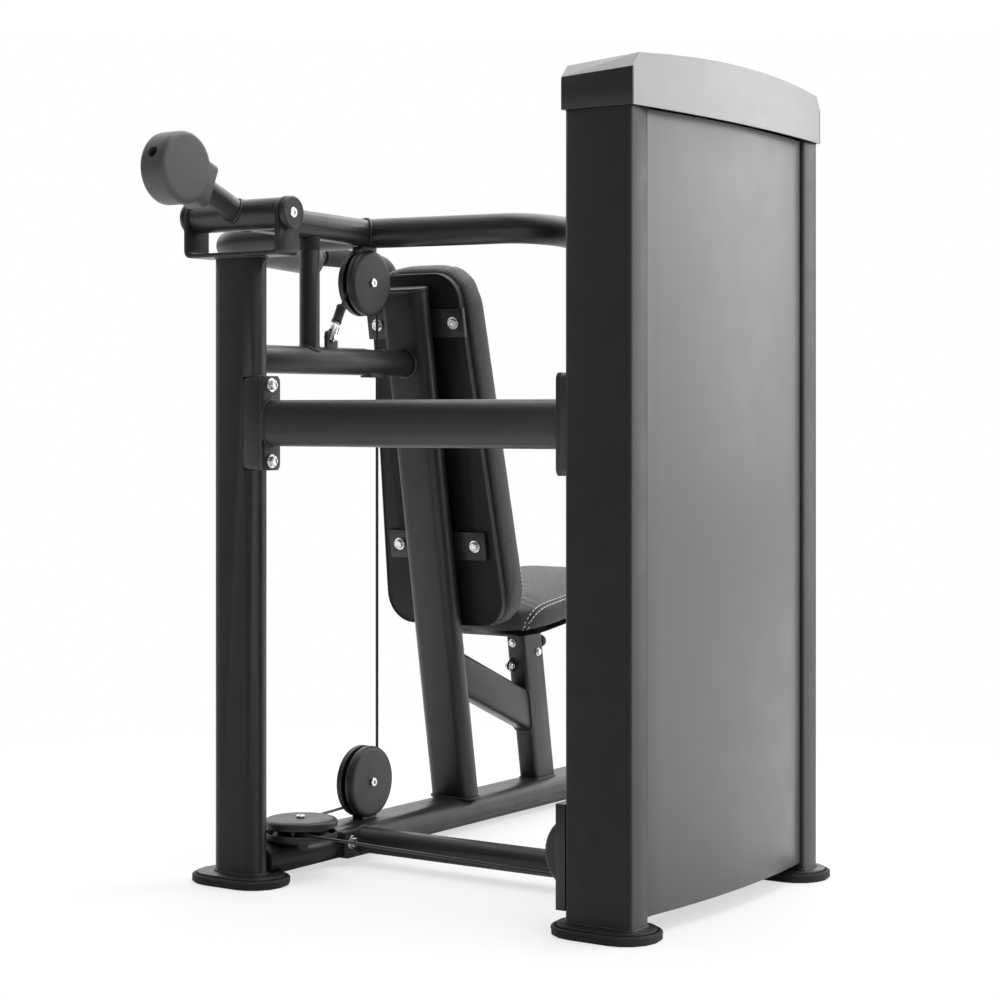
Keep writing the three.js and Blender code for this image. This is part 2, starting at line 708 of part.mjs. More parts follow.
function strapPair(reach) {
  const near = cheek.near;
  const far = near + cheek.thick;
  const hole = rod(v(-pulleyHalf, 0, 0), v(pulleyHalf, 0, 0), axle.round + touch);
  return joined([1, -1].map((side) => {
    const [x0, x1] = side > 0 ? [near, far] : [-far, -near];
    const plate = block(x0, x1, -cheek.half, cheek.half, -reach, 0);
    const eye = rod(v(x0, 0, 0), v(x1, 0, 0), cheek.half);
    return cut(joined([plate, eye]), [hole]);
  }));
}

function axleSolid(from, to, headAtStart) {
  const head = [[axle.head, to], [axle.head, to + axle.headHigh], [0, to + axle.headHigh]];
  const start = headAtStart
    ? [[0, from - axle.headHigh], [axle.head, from - axle.headHigh], [axle.head, from], [axle.round, from]]
    : [[0, from], [axle.round, from]];
  return turned([...start, [axle.round, to], ...head], v(0, 0, 0), xSide, 2 * smallSides);
}

// Places a pulley: its axle turns to axis, its strap to hang
function pulleyFrame(centre, axis, hang) {
  const up = hang.clone().negate();
  return new THREE.Matrix4().makeBasis(axis, up.clone().cross(axis), up).setPosition(centre);
}

const topFrame = pulleyFrame(v(0, topPulley.y, topPulley.high), xSide, zUp);
const baseFrame = pulleyFrame(v(0, basePulley.y, basePulley.high), xSide, zUp.clone().negate());
const flatFrame = pulleyFrame(v(flatPulley.x, flatPulley.y, flatPulley.high), zUp, ySide);
const towerFrame = pulleyFrame(v(towerPulley.x, towerPulley.y, towerPulley.high), ySide, xSide);

function inGroup(matrix) {
  const group = new THREE.Group();
  group.applyMatrix4(matrix);
  machine.add(group);
  return group;
}

// Moving pulley under the press arm, its straps welded to the bow
const topGroup = inGroup(topFrame);
const straps = moved(strapPair(neck.endHigh - topPulley.high), topFrame);
const neckSpace = rod(pivotPoint, neckEnd, neck.round + touch);
const bowParts = [tubeAlong(bowPath, bow.round), handleTube(1), handleTube(-1), cut(straps, [neckSpace])];
add(machine, 'press_bow', joined(bowParts), paints.frame);
add(topGroup, 'top_pulley_cover', coverSolid(topPulley.cover, true, -pulleyHalf, true), paints.plastic);
add(topGroup, 'top_sheave', sheaveSolid(topPulley.track), paints.plastic);

// Base pulleys on and beside the main beam, and the lower one of the tower
const baseGroup = inGroup(baseFrame);
const flatGroup = inGroup(flatFrame);
const towerGroup = inGroup(towerFrame);
const baseReach = basePulley.high - beamTop + cheek.thick;
const flatDrop = flatPulley.high - flatAxleFoot;
const towerReach = towerPulley.y - towerPulley.plateY - touch;
add(machine, 'main_beam', buildMainBeam(), paints.frame);
add(baseGroup, 'base_pulley_cover', coverSolid(basePulley.cover, true, -pulleyHalf, true), paints.plastic);
add(flatGroup, 'flat_pulley_cover', coverSolid(flatPulley.cover, false, -flatDrop, false), paints.plastic);
add(towerGroup, 'tower_pulley_cover', coverSolid(towerPulley.cover, false, -towerReach, false),
  paints.plastic);
add(baseGroup, 'base_upright_sheave', sheaveSolid(basePulley.track), paints.plastic);
add(flatGroup, 'base_flat_sheave', sheaveSolid(flatPulley.track), paints.plastic);
add(towerGroup, 'tower_lower_sheave', sheaveSolid(towerPulley.track), paints.plastic);

// Tower posts with their foot plates; the rear one carries the flange and the pulley bracket
const postBracket = {
  plateReach: 18,
  plateBottom: 40,
  plateTop: 222,
  armReach: 22,
  armThick: 6,
  armHalf: 29,
};
const armFace = towerPulley.plateY + postBracket.armThick;

function postSolid(y) {
  const section = roundedRect(tower.postWide, tower.postDeep, tower.corner);
  return bar(section, v(tower.x, y, foot.bootHigh + touch), v(tower.x, y, tower.postTop), xSide);
}

function buildRearPost() {
  const sizes = { ...flange, wide: tower.postDeep - 2 * weld };
  const welded = flangePlate(towerFlangeFace, tower.x, 0, crossBeam.high, sizes);
  const { plateReach, plateBottom, plateTop, armReach, armHalf } = postBracket;
  const { x, y, high, plateY } = towerPulley;
  const rear = -tower.postDeep / 2 + weld;
  const plate = block(postInner - plateReach, postInner + weld, rear, armFace, plateBottom, plateTop);
  const arm = block(x - armReach, postInner + weld, plateY, armFace, high - armHalf, high + armHalf);
  const axleHole = rod(v(x, 0, high), v(x, y, high), axle.round + touch);
  const whole = joined([postSolid(0), footPlate(tower.x, 0), welded, plate, arm]);
  return cut(whole, [...upperTowerRow.holes, axleHole]);
}

add(machine, 'tower_rear_post', buildRearPost(), paints.frame);
add(machine, 'tower_front_post', joined([postSolid(frontPostY), footPlate(tower.x, frontPostY)]),
  paints.frame);

// Rubber feet under the four plates
const beamSpace = beamSolid(touch);
add(machine, 'rubber_foot_column', cut(boot(0, 0), [beamSpace]), paints.rubber);
add(machine, 'rubber_foot_front', cut(boot(0, frontFootY), [beamSpace]), paints.rubber);
add(machine, 'rubber_foot_tower_rear', boot(tower.x, 0), paints.rubber);
add(machine, 'rubber_foot_tower_front', boot(tower.x, frontPostY), paints.rubber);

// Beams between the posts, with the head pulleys on the upper one
const wellRear = tower.postDeep / 2 + touch;
const wellFront = frontPostY - wellRear;
const headBeam = { wide: 113, bottom: 1290, high: 40, cableHole: 12 };
const headBeamTop = headBeam.bottom + headBeam.high;
const riser = v(towerPulley.x + towerPulley.track, towerPulley.y, towerPulley.high);
const stackTop = v(tower.x, towerMidY, headPulley.high);
const headRun = v(stackTop.x - riser.x, stackTop.y - riser.y, 0);
const headWay = headRun.clone().normalize();
const headAxis = v(headWay.y, -headWay.x, 0);
const rearHead = v(riser.x, riser.y, headPulley.high).addScaledVector(headWay, headPulley.track);
const frontHead = stackTop.clone().addScaledVector(headWay, -headPulley.track);
const headCheek = { near: 10, thick: 4, margin: 24, top: 30, corner: 0.5 };

function headCheeks() {
  return [1, -1].map((side) => {
    const offset = headAxis.clone().multiplyScalar(side * (headCheek.near + headCheek.thick / 2));
    const start = rearHead.clone().addScaledVector(headWay, -headCheek.margin).add(offset);
    const end = frontHead.clone().addScaledVector(headWay, headCheek.margin).add(offset);
    const [low, high] = [headBeamTop - weld, headPulley.high + headCheek.top];
    const middle = (low + high) / 2;
    start.z = middle;
    end.z = middle;
    return bar(roundedRect(headCheek.thick, high - low, headCheek.corner, 1), start, end, headAxis);
  });
}

function headAxleFrame(centre) {
  return pulleyFrame(centre, headAxis, zUp.clone().negate());
}

function buildHeadBeam() {
  const beamHalf = headBeam.wide / 2;
  const body = block(tower.x - beamHalf, tower.x + beamHalf, wellRear, wellFront, headBeam.bottom,
    headBeamTop);
  const holes = [riser, stackTop].map(({ x, y }) =>
    rod(v(x, y, headBeam.bottom - overrun), v(x, y, headBeamTop + overrun), headBeam.cableHole));
  const half = headCheek.near + headCheek.thick / 2;
  const axles = [rearHead, frontHead].map((centre) => moved(axleSolid(-half, half, true),
    headAxleFrame(centre)));
  return cut(joined([body, ...headCheeks(), ...axles]), holes);
}

add(machine, 'tower_head_beam', buildHeadBeam(), paints.frame);
const towerBeamTop = towerBeam.bottom + towerBeam.high;
const towerBeamOuter = tower.x + towerBeam.wide / 2;
const towerFloorBeam = block(towerBeamInner, towerBeamOuter, wellRear, wellFront, towerBeam.bottom,
  towerBeamTop);
add(machine, 'tower_base_beam', cut(towerFloorBeam, baseFarRow.holes), paints.frame);
const rearHeadGroup = inGroup(headAxleFrame(rearHead));
const frontHeadGroup = inGroup(headAxleFrame(frontHead));
add(rearHeadGroup, 'tower_rear_head_sheave', sheaveSolid(headPulley.track), paints.plastic);
add(frontHeadGroup, 'tower_front_head_sheave', sheaveSolid(headPulley.track), paints.plastic);

// Guide rods, buffers and the weight stack
const guide = { round: 12.5, buffer: 26, bufferTop: 140, strip: 12 };
const plate = {
  wide: 105,
  long: plateLong,
  thick: 23.5,
  pitch: 25,
  groove: 1.5,
  corner: 6,
  rodHole: 13.5,
  stemHole: 13.5,
};
const stack = { resting: 9, lifted: 5, topThick: 30 };
const stem = { round: 12.5, above: 40, collar: 20, collarHigh: 12, bottomGap: 8 };
const pin = { round: 5, knobRound: 13, knobLong: 26, knobGap: 4, tip: 2 };
const pinEye = boreAround(pin.round + running, smallSides);
const rodYs = [towerMidY - rodSpread, towerMidY + rodSpread];
const rodFoot = towerBeamTop + touch;
const plateFloor = guide.bufferTop + touch;
const liftedFloor = plateFloor + stack.resting * plate.pitch;
const topFloor = liftedFloor + stack.lifted * plate.pitch;
const stackPeak = topFloor + stack.topThick - plate.groove;
const pinHigh = liftedFloor + plate.thick / 2;

const rodTop = headBeam.bottom - touch;
add(machine, 'guide_rod_rear', rod(v(tower.x, rodYs[0], rodFoot), v(tower.x, rodYs[0], rodTop),
  guide.round), paints.zinc);
add(machine, 'guide_rod_front', rod(v(tower.x, rodYs[1], rodFoot), v(tower.x, rodYs[1], rodTop),
  guide.round), paints.zinc);

// Rubber cushion under the stack: a strip on the beam with a thick ring round each rod
function buildCushion() {
  const half = rodSpread + guide.buffer;
  const strip = block(tower.x - guide.buffer, tower.x + guide.buffer, towerMidY - half, towerMidY + half,
    rodFoot, rodFoot + guide.strip);
  const rings = rodYs.map((y) => rod(v(tower.x, y, rodFoot), v(tower.x, y, guide.bufferTop), guide.buffer));
  const holes = rodYs.map((y) => rod(v(tower.x, y, 0), v(tower.x, y, headBeam.bottom),
    guide.round + touch));
  return cut(joined([strip, ...rings]), holes);
}

add(machine, 'stack_cushion', buildCushion(), paints.rubber);

// A pile of plates, parted by shallow grooves and pierced for the rods, the stem and the pin
function platePile(floor, thicks) {
  const layers = [];
  const holes = [];
  let z = floor;
  thicks.forEach((thick) => {
    const section = roundedRect(plate.wide, plate.long, plate.corner, 1);
    layers.push(bar(section, v(tower.x, towerMidY, z), v(tower.x, towerMidY, z + thick - plate.groove),
      xSide));
    const pinHigh = z + plate.thick / 2;
    if (thick === plate.pitch) holes.push(pinBore(pinHigh));
    z += thick;
  });
  const top = z - plate.groove;
  const core = roundedRect(plate.wide - 2 * plate.groove, plate.long - 2 * plate.groove, plate.corner, 1);
  layers.push(bar(core, v(tower.x, towerMidY, floor), v(tower.x, towerMidY, top), xSide));
  const down = floor - overrun;
  rodYs.forEach((y) => holes.push(rod(v(tower.x, y, down), v(tower.x, y, top + overrun), plate.rodHole)));
  holes.push(rod(v(tower.x, towerMidY, down), v(tower.x, towerMidY, top + overrun), plate.stemHole));
  return cut(joined(layers), holes);
}

function pinBore(z) {
  return rod(v(tower.x - plate.wide, towerMidY, z), v(tower.x, towerMidY, z), pinEye, smallSides);
}

const restingPile = Array.from({ length: stack.resting }, () => plate.pitch);
const liftedPile = [...Array.from({ length: stack.lifted }, () => plate.pitch), stack.topThick];
add(machine, 'resting_weight_plates', platePile(plateFloor, restingPile), paints.iron);
add(machine, 'lifted_weight_plates', platePile(liftedFloor, liftedPile), paints.iron);

const stemTop = stackPeak + stem.above;
function buildStem() {
  const shaft = rod(v(tower.x, towerMidY, plateFloor + stem.bottomGap), v(tower.x, towerMidY, stemTop),
    stem.round);
  const collar = rod(v(tower.x, towerMidY, stackPeak + touch),
    v(tower.x, towerMidY, stackPeak + touch + stem.collarHigh), stem.collar);
  const eyes = Array.from({ length: stack.resting + stack.lifted }, (_, i) => {
    const z = plateFloor + i * plate.pitch + plate.thick / 2;
    return rod(v(tower.x - plate.wide, towerMidY, z), v(tower.x + plate.wide, towerMidY, z), pinEye,
      smallSides);
  });
  return cut(joined([shaft, collar]), eyes.slice(1));
}

add(machine, 'selector_stem', buildStem(), paints.steel);

// Covers between the posts
const panel = { bulge: 20, thick: 2, bottom: 34, steps: 14 };
const inner = {
  x: 749,
  thick: 3,
  bottom: 100,
  slotHalf: 35,
  slotBottom: 200,
  slotTop: 1150,
  notchY: 100,
  notchTop: 195,
};
const coverTop = tower.capBottom - touch;

// The points of a bowed line along Y, standing out from x by its bulge at the middle
function bowed(x, y0, y1, bulge, steps) {
  return Array.from({ length: steps + 1 }, (_, i) => {
    const share = i / steps;
    return new THREE.Vector2(x + bulge * (1 - (2 * share - 1) ** 2), y0 + (y1 - y0) * share);
  });
}

function buildOuterPanel() {
  const edge = postOuter - tower.corner;
  const outside = bowed(edge, wellRear, wellFront, panel.bulge, panel.steps);
  const inside = bowed(edge - panel.thick, wellRear, wellFront, panel.bulge, panel.steps).reverse();
  return bar(new THREE.Shape([...outside, ...inside]), v(0, 0, panel.bottom), v(0, 0, coverTop), xSide);
}

function buildInnerCover() {
  const { x, thick, slotHalf, slotBottom, slotTop } = inner;
  const sheet = block(x, x + thick, wellRear, wellFront, inner.bottom, coverTop);
  const slot = block(x - overrun, x + thick + overrun, towerMidY - slotHalf, towerMidY + slotHalf,
    slotBottom, slotTop);
  const notch = block(x - overrun, x + thick + overrun, 0, inner.notchY, 0, inner.notchTop);
  return cut(sheet, [slot, notch]);
}

add(machine, 'outer_panel', buildOuterPanel(), paints.panel);
add(machine, 'inner_cover', buildInnerCover(), paints.frame);

// Selector pin through the lowest lifted plate into the stem
function buildPin() {
  const knobFace = inner.x - pin.knobGap;
  const tip = tower.x + stem.round - pin.tip;
  const profile = [
    [0, 0],
    [pin.knobRound - pin.tip, 0],
    [pin.knobRound, pin.tip],
    [pin.knobRound, pin.knobLong - pin.tip],
    [pin.knobRound - pin.tip, pin.knobLong],
    [pin.round, pin.knobLong],
    [pin.round, pin.knobLong + tip - knobFace - pin.tip],
    [pin.round - pin.tip, pin.knobLong + tip - knobFace],
    [0, pin.knobLong + tip - knobFace],
  ];
  return turned(profile, v(knobFace - pin.knobLong, towerMidY, pinHigh), xSide);
}

add(machine, 'selector_pin', buildPin(), paints.plastic);

// Tower cap: a bowed hood with bevelled ends and dark end plates
const hood = {
  over: 4,
  wall: 3.7,
  shoulder: 64,
  bevelIn: 20,
  bevelUp: 89,
  arch: 103,
  bulge: 22,
  steps: 14,
  strip: 60,
  lowShare: 0.875,
};

function hoodSection(inset) {
  const y0 = -tower.postDeep / 2 - hood.over + inset;
  const y1 = frontPostY + tower.postDeep / 2 + hood.over - inset;
  const archShares = [0, 0.125, 0.25, 0.375, 0.5, 0.625, 0.75, 0.875, 1];
  const arch = archShares.map((share) => {
    const rise = hood.bevelUp + (hood.arch - hood.bevelUp) * (1 - (2 * share - 1) ** 2);
    return [y0 + hood.bevelIn + (y1 - y0 - 2 * hood.bevelIn) * share, rise - inset];
  });
  const base = inset > 0 ? -overrun : 0;
  return [[y0, base], [y0, hood.shoulder - inset], ...arch, [y1, hood.shoulder - inset], [y1, base]];
}

function hoodBody(inset) {
  const x0 = postInner - hood.over + inset;
  const x1 = postOuter + hood.over + hood.bulge;
  const rings = [[x0, hood.lowShare], [postOuter + hood.over, 1], [x1 + overrun, 1]].map(([x, share]) =>
    hoodSection(inset).map(([y, rise]) => v(x, y, tower.capBottom + (rise > 0 ? rise * share : rise))));
  const solidBody = layered(rings);
  const y0 = -tower.postDeep / 2 - hood.over + inset;
  const y1 = frontPostY + tower.postDeep / 2 + hood.over - inset;
  const plan = new THREE.Shape([
    new THREE.Vector2(x0 - overrun, y0 - overrun),
    ...bowed(postOuter + hood.over - inset, y0, y1, hood.bulge, hood.steps),
    new THREE.Vector2(x0 - overrun, y1 + overrun),
  ]);
  const column = bar(plan, v(0, 0, tower.capBottom - 2 * overrun),
    v(0, 0, tower.capBottom + 2 * hood.arch), xSide);
  return solidBody.intersect(column);
}

function endBlock(front, depth) {
  const rear = -tower.postDeep / 2 - hood.over;
  const far = frontPostY + tower.postDeep / 2 + hood.over;
  const [y0, y1] = front ? [far - depth, far + overrun] : [rear - overrun, rear + depth];
  return block(postInner - hood.bulge, postOuter + 2 * hood.bulge, y0, y1, tower.capBottom - overrun,
    tower.capBottom + hood.arch);
}

const hoodWhole = hoodBody(0);
const endThick = hood.wall - touch;
const shoulderTilt = Math.atan2(hood.shoulder * (1 - hood.lowShare), tower.postWide + 2 * hood.over);

function underShoulder(gap) {
  const start = v(postOuter + hood.over, -tower.length, tower.capBottom + hood.shoulder - gap);
  const slab = block(-tower.postWide * 2, tower.postWide, 0, tower.length * 3, -2 * hood.arch, 0);
  const tilt = new THREE.Matrix4().makeRotationY(-shoulderTilt).setPosition(start);
  return moved(slab, tilt);
}

function buildHood() {
  const ends = [true, false].map((front) => endBlock(front, hood.wall).intersect(underShoulder(0)));
  return cut(hoodWhole, [hoodBody(hood.wall), ...ends]);
}

// Dark end plates under the hood, held apart by a strip that lies on the post tops
function buildLiner() {
  const plates = [true, false].map((front) => {
    const end = hoodWhole.intersect(endBlock(front, endThick));
    return end.intersect(underShoulder(touch));
  });
  const half = hood.strip / 2;
  const [y0, y1] = [-tower.postDeep / 2 - hood.over, frontPostY + tower.postDeep / 2 + hood.over];
  const low = tower.postTop + touch;
  const strip = block(tower.x - half, tower.x + half, y0 + endThick / 2, y1 - endThick / 2, low,
    low + hood.wall);
  return joined([...plates, strip]);
}

add(machine, 'cap_hood', buildHood(), paints.silver);
add(machine, 'cap_liner', buildLiner(), paints.frame);

// Seat post, brace, seat and back pad
const seatFrame = leaning(seatPost.y, beamTop);
const slideInside = 245;
const slideShown = 32;
const lockBelow = 40;
const rackBelow = 190;
const rackReach = 12;
const toSeat = seatFrame.clone().invert();
const slide = {
  wide: 44,
  deep: 70,
  corner: 8,
  bottom: seatPost.long - slideInside,
  top: seatPost.long + slideShown,
  clear: touch,
};
const lock = {
  high: seatPost.long - lockBelow,
  round: 5,
  knobRound: 17,
  knobLong: 24,
  knobGap: 14,
  knobEdge: 2,
  depth: 11,
  rackBottom: seatPost.long - rackBelow,
  rackHalf: 5.4,
  rackTop: seatPost.long - lockBelow + rackReach,
  housing: 12,
  housingLong: 13.5,
};
const collar = { wide: 56, deep: 82, corner: 12, high: 12 };
const seatLug = { below: 60, wide: 30, reach: 46, thick: 6, eye: 5 };
const seatScrew = { sideY: 14, sideBelow: 47, rearX: 4, rearBelow: 22 };

function slideSection(gap) {
  return roundedRect(slide.wide + 2 * gap, slide.deep + 2 * gap, slide.corner + gap);
}

function buildSeatPost() {
  const { wide, deep, corner, long } = seatPost;
  const outside = bar(roundedRect(wide, deep, corner), v(0, 0, -flatTube.deep), v(0, 0, long), xSide);
  const bore = bar(slideSection(slide.clear), v(0, 0, slide.bottom - 2 * overrun),
    v(0, 0, long + overrun), xSide);
  const lugHigh = long - seatLug.below;
  const earStart = v(-seatLug.thick / 2, -seatLug.thick, lugHigh);
  const earEnd = v(seatLug.thick / 2, -seatLug.thick, lugHigh);
  const ear = bar(roundedRect(2 * seatLug.reach, seatLug.wide, seatLug.wide / 3), earStart, earEnd, ySide);
  const eyeY = -seatLug.reach;
  const eye = rod(v(-seatLug.wide, eyeY, lugHigh), v(seatLug.wide, eyeY, lugHigh), seatLug.eye, smallSides);
  const housing = rod(v(0, 0, lock.high), v(0, deep / 2 + lock.housingLong, lock.high), lock.housing);
  const pinHole = rod(v(0, 0, lock.high), v(0, deep, lock.high), lock.round + touch);
  const bare = cut(joined([outside, cut(ear, [eye]), housing]), [bore, pinHole, moved(floorCut, toSeat)]);
  const sidePoint = v(wide / 2, seatScrew.sideY, long - seatScrew.sideBelow);
  const rearPoint = v(seatScrew.rearX, -deep / 2, long - seatScrew.rearBelow);
  const side = boltShape(sidePoint, xSide, bolt.sink, -bolt.sink);
  const rear = boltShape(rearPoint, rearSide, bolt.sink, -bolt.sink);
  return joined([bare, side, rear]);
}

function buildSlide() {
  const tube = bar(slideSection(0), v(0, 0, slide.bottom), v(0, 0, slide.top), xSide);
  const face = slide.deep / 2;
  const { rackHalf, depth, rackBottom, rackTop } = lock;
  const rack = block(-rackHalf, rackHalf, face - depth, face + overrun, rackBottom, rackTop);
  return cut(tube, [rack]);
}

const seatGroup = inGroup(seatFrame);
add(seatGroup, 'seat_post', buildSeatPost(), paints.frame);
const collarBottom = seatPost.long + touch;
const collarTop = collarBottom + collar.high;
const collarShape = roundedRect(collar.wide, collar.deep, collar.corner);
const collarBody = bar(collarShape, v(0, 0, collarBottom), v(0, 0, collarTop), xSide);
const boreStart = v(0, 0, collarBottom - overrun);
const collarBore = bar(slideSection(slide.clear), boreStart, v(0, 0, collarTop + overrun), xSide);
add(seatGroup, 'seat_post_collar', collarBody.subtract(collarBore), paints.plastic);

function buildLock() {
  const start = slide.deep / 2 - lock.depth + touch;
  const knobStart = seatPost.deep / 2 + lock.knobGap;
  const profile = [
    [0, start],
    [lock.round, start],
    [lock.round, knobStart],
    [lock.knobRound - lock.knobEdge, knobStart],
    [lock.knobRound, knobStart + lock.knobEdge],
    [lock.knobRound, knobStart + lock.knobLong - lock.knobEdge],
    [lock.knobRound - lock.knobEdge, knobStart + lock.knobLong],
    [0, knobStart + lock.knobLong],
  ];
  return turned(profile, v(0, 0, lock.high), ySide);
}

add(seatGroup, 'seat_lock_knob', buildLock(), paints.plastic);

function buildBrace() {
  const rear = v(0, brace.rearY, brace.rearHigh);
  const way = v(0, brace.frontY - brace.rearY, brace.frontHigh - brace.rearHigh).normalize();
  const start = rear.clone().addScaledVector(way, -brace.high);
  const end = rear.clone().addScaledVector(way, 4 * brace.high);
  const tube = bar(roundedRect(brace.wide, brace.high, brace.corner), start, end, xSide);
  const rearCut = block(-beam.wide, beam.wide, -beam.frontEnd, flatTube.deep / 2 + touch,
    -beam.frontEnd, beam.frontEnd);
  const frontCut = block(-beam.wide, beam.wide, -seatPost.deep / 2 - touch, beam.frontEnd,
    -beam.frontEnd, beam.frontEnd);
  return cut(tube, [moved(rearCut, uprightFrame), moved(frontCut, seatFrame)]);
}

add(machine, 'seat_brace', buildBrace(), paints.frame);

// Cushions: a closed outline drawn in at the bottom, full at the side and crowned on top
function taperedOutline(sizes, inset) {
  const { rearHalf, frontHalf, rear, front, corner } = sizes;
  const r = corner - inset;
  const [y0, y1, x0, x1] = [rear + inset, front - inset, rearHalf - inset, frontHalf - inset];
  const slant = Math.atan2(frontHalf - rearHalf, front - rear);
  const points = [];
  const centres = [
    [x1 - r, y1 - r, -slant, quarterTurn],
    [-x1 + r, y1 - r, quarterTurn, halfTurn + slant],
    [-x0 + r, y0 + r, halfTurn + slant, 3 * quarterTurn],
    [x0 - r, y0 + r, 3 * quarterTurn, fullTurn - slant],
  ];
  centres.forEach(([cx, cy, from, to]) => {
    for (let i = 0; i <= sizes.steps; i += 1) {
      const turn = from + ((to - from) * i) / sizes.steps;
      points.push(new THREE.Vector2(cx + r * Math.cos(turn), cy + r * Math.sin(turn)));
    }
  });
  return points;
}

// Adds points along the straight edges so that the crown bends between them
function spreadPoints(points, count) {
  const closed = [...points, points[0]];
  const curve = new THREE.CurvePath();
  for (let i = 0; i < closed.length - 1; i += 1) curve.add(new THREE.LineCurve(closed[i], closed[i + 1]));
  return curve.getSpacedPoints(count).slice(0, -1);
}

function cushion(sizes, z, thick, crown) {
  const sideShares = [[0, 0.8], [0.12, 0.25], [0.35, 0], [0.7, 0], [0.9, 0.3], [1, 1]];
  const crownShares = [[0.9, 0.35], [0.75, 0.68], [0.5, 0.9], [0.25, 1]];
  const rings = sideShares.map(([rise, drawn]) => {
    const outline = spreadPoints(taperedOutline(sizes, drawn * sizes.drawIn), sizes.count);
    return outline.map((point) => v(point.x, point.y, z + rise * thick));
  });
  const edge = rings[rings.length - 1];
  const centreY = (sizes.rear + sizes.front) / 2;
  crownShares.forEach(([spread, rise]) => {
    rings.push(edge.map((point) => v(point.x * spread, centreY + (point.y - centreY) * spread,
      z + thick + rise * crown)));
  });
  return layered(rings);
}

const padLowShare = 1 / 3;
const padAboveTop = 38;
const backPad = {
  rearHalf: 164,
  frontHalf: 128,
  rear: upright.long * padLowShare,
  front: upright.long + padAboveTop,
  corner: 74,
  steps: 4,
  count: 48,
  drawIn: 12,
};
const padSide = { boardThick: 15, thick: 62, crown: 14, boardIn: 14 };
const seatPad = {
  rearHalf: 150,
  frontHalf: 176,
  rear: -185,
  front: 240,
  corner: 84,
  steps: 4,
  count: 48,
  drawIn: 10,
};
const seatSide = { boardThick: 12, thick: 50, crown: 18, boardIn: 18 };

function boardSolid(sizes, inset, z, thick) {
  const outline = taperedOutline(sizes, inset);
  return layered([outline, outline].map((points, i) => points.map((point) => v(point.x, point.y,
    z + i * thick))));
}

// The pad's own frame: its length up the upright, its face to the front
const padGroup = new THREE.Group();
padGroup.rotation.set(-quarterTurn, 0, halfTurn);
uprightGroup.add(padGroup);
machine.updateMatrixWorld(true);
const toPad = padGroup.matrixWorld.clone().invert();
const boardZ = pad.rear + touch;
const backBoard = boardSolid(backPad, padSide.boardIn, boardZ, padSide.boardThick);
const padBolts = padRow.bodies.map((body) => moved(body, toPad));
add(padGroup, 'back_board', joined([backBoard, ...padBolts]), paints.plastic);
add(padGroup, 'back_pad', cushion(backPad, boardZ + padSide.boardThick + touch, padSide.thick,
  padSide.crown), paints.leather);

const seatBoardZ = slide.top - touch;
const seatBoard = boardSolid(seatPad, seatSide.boardIn, seatBoardZ, seatSide.boardThick);
add(seatGroup, 'seat_carrier', buildSlide().add(seatBoard), paints.steel);
add(seatGroup, 'seat_pad', cushion(seatPad, seatBoardZ + seatSide.boardThick + touch, seatSide.thick,
  seatSide.crown), paints.leather);

// Cable: fixed to the lug, over the moving pulley, down and through the base to the tower
const lugEye = v(0, lug.y, lug.eyeHigh);
const topCentre = v(0, topPulley.y, topPulley.high);
const fitting = { clevis: 10, clevisLong: 26, sleeve: 8, sleeveLong: 40, pin: 4.5, pinHalf: 13 };

// Where a straight line from a point touches the rear side of a wheel in the middle plane
function rearTangent(point, centre, radius) {
  const away = point.clone().sub(centre);
  const turn = Math.acos(radius / away.length());
  return away.normalize().applyAxisAngle(xSide, -turn).multiplyScalar(radius).add(centre);
}

const topRear = rearTangent(lugEye, topCentre, topPulley.track);
const strandWay = topRear.clone().sub(lugEye).normalize();
const alongStrand = (distance) => lugEye.clone().addScaledVector(strandWay, distance);
const fittingEnd = fitting.clevisLong + fitting.sleeveLong;

function buildFitting() {
  const head = rod(alongStrand(-fitting.clevis), alongStrand(fitting.clevisLong), fitting.clevis);
  const sleeve = rod(alongStrand(fitting.clevisLong - weld), alongStrand(fittingEnd), fitting.sleeve);
  const gap = lug.thick / 2 + touch;
  const slot = block(-gap, gap, lug.y - lug.wide, lug.y + lug.wide, strut.high, lug.top + touch);
  const pinRod = rod(v(-fitting.pinHalf, lug.y, lug.eyeHigh), v(fitting.pinHalf, lug.y, lug.eyeHigh),
    fitting.pin);
  return cut(joined([head, sleeve]), [slot]).add(pinRod);
}

// An arc about a centre, from one offset, turning about an axis
function arc(centre, offset, axis, turn, steps) {
  return Array.from({ length: steps + 1 },
    (_, i) => offset.clone().applyAxisAngle(axis, (turn * i) / steps).add(centre));
}

// How far the cable wraps over the moving pulley, from straight down in front to its rear tangent
const wrapRise = topRear.clone().sub(topCentre).angleTo(ySide);
const wrapTurn = topRear.z < topCentre.z ? fullTurn - wrapRise : wrapRise;
const topWrap = [
  v(0, topPulley.y + topPulley.track, topPulley.high - cable.tail),
  ...arc(topCentre, v(0, topPulley.track, 0), xSide, wrapTurn, 2 * arcSteps),
  topRear.clone().addScaledVector(strandWay, -cable.tail),
];
const downTop = v(0, topPulley.y + topPulley.track, topPulley.high);
const baseCentre = v(0, basePulley.y, basePulley.high);
const baseFront = v(0, basePulley.y + basePulley.track, basePulley.high);
const flatCentre = v(flatPulley.x, flatPulley.y, flatPulley.high);
const towerCentre = v(towerPulley.x, towerPulley.y, towerPulley.high);

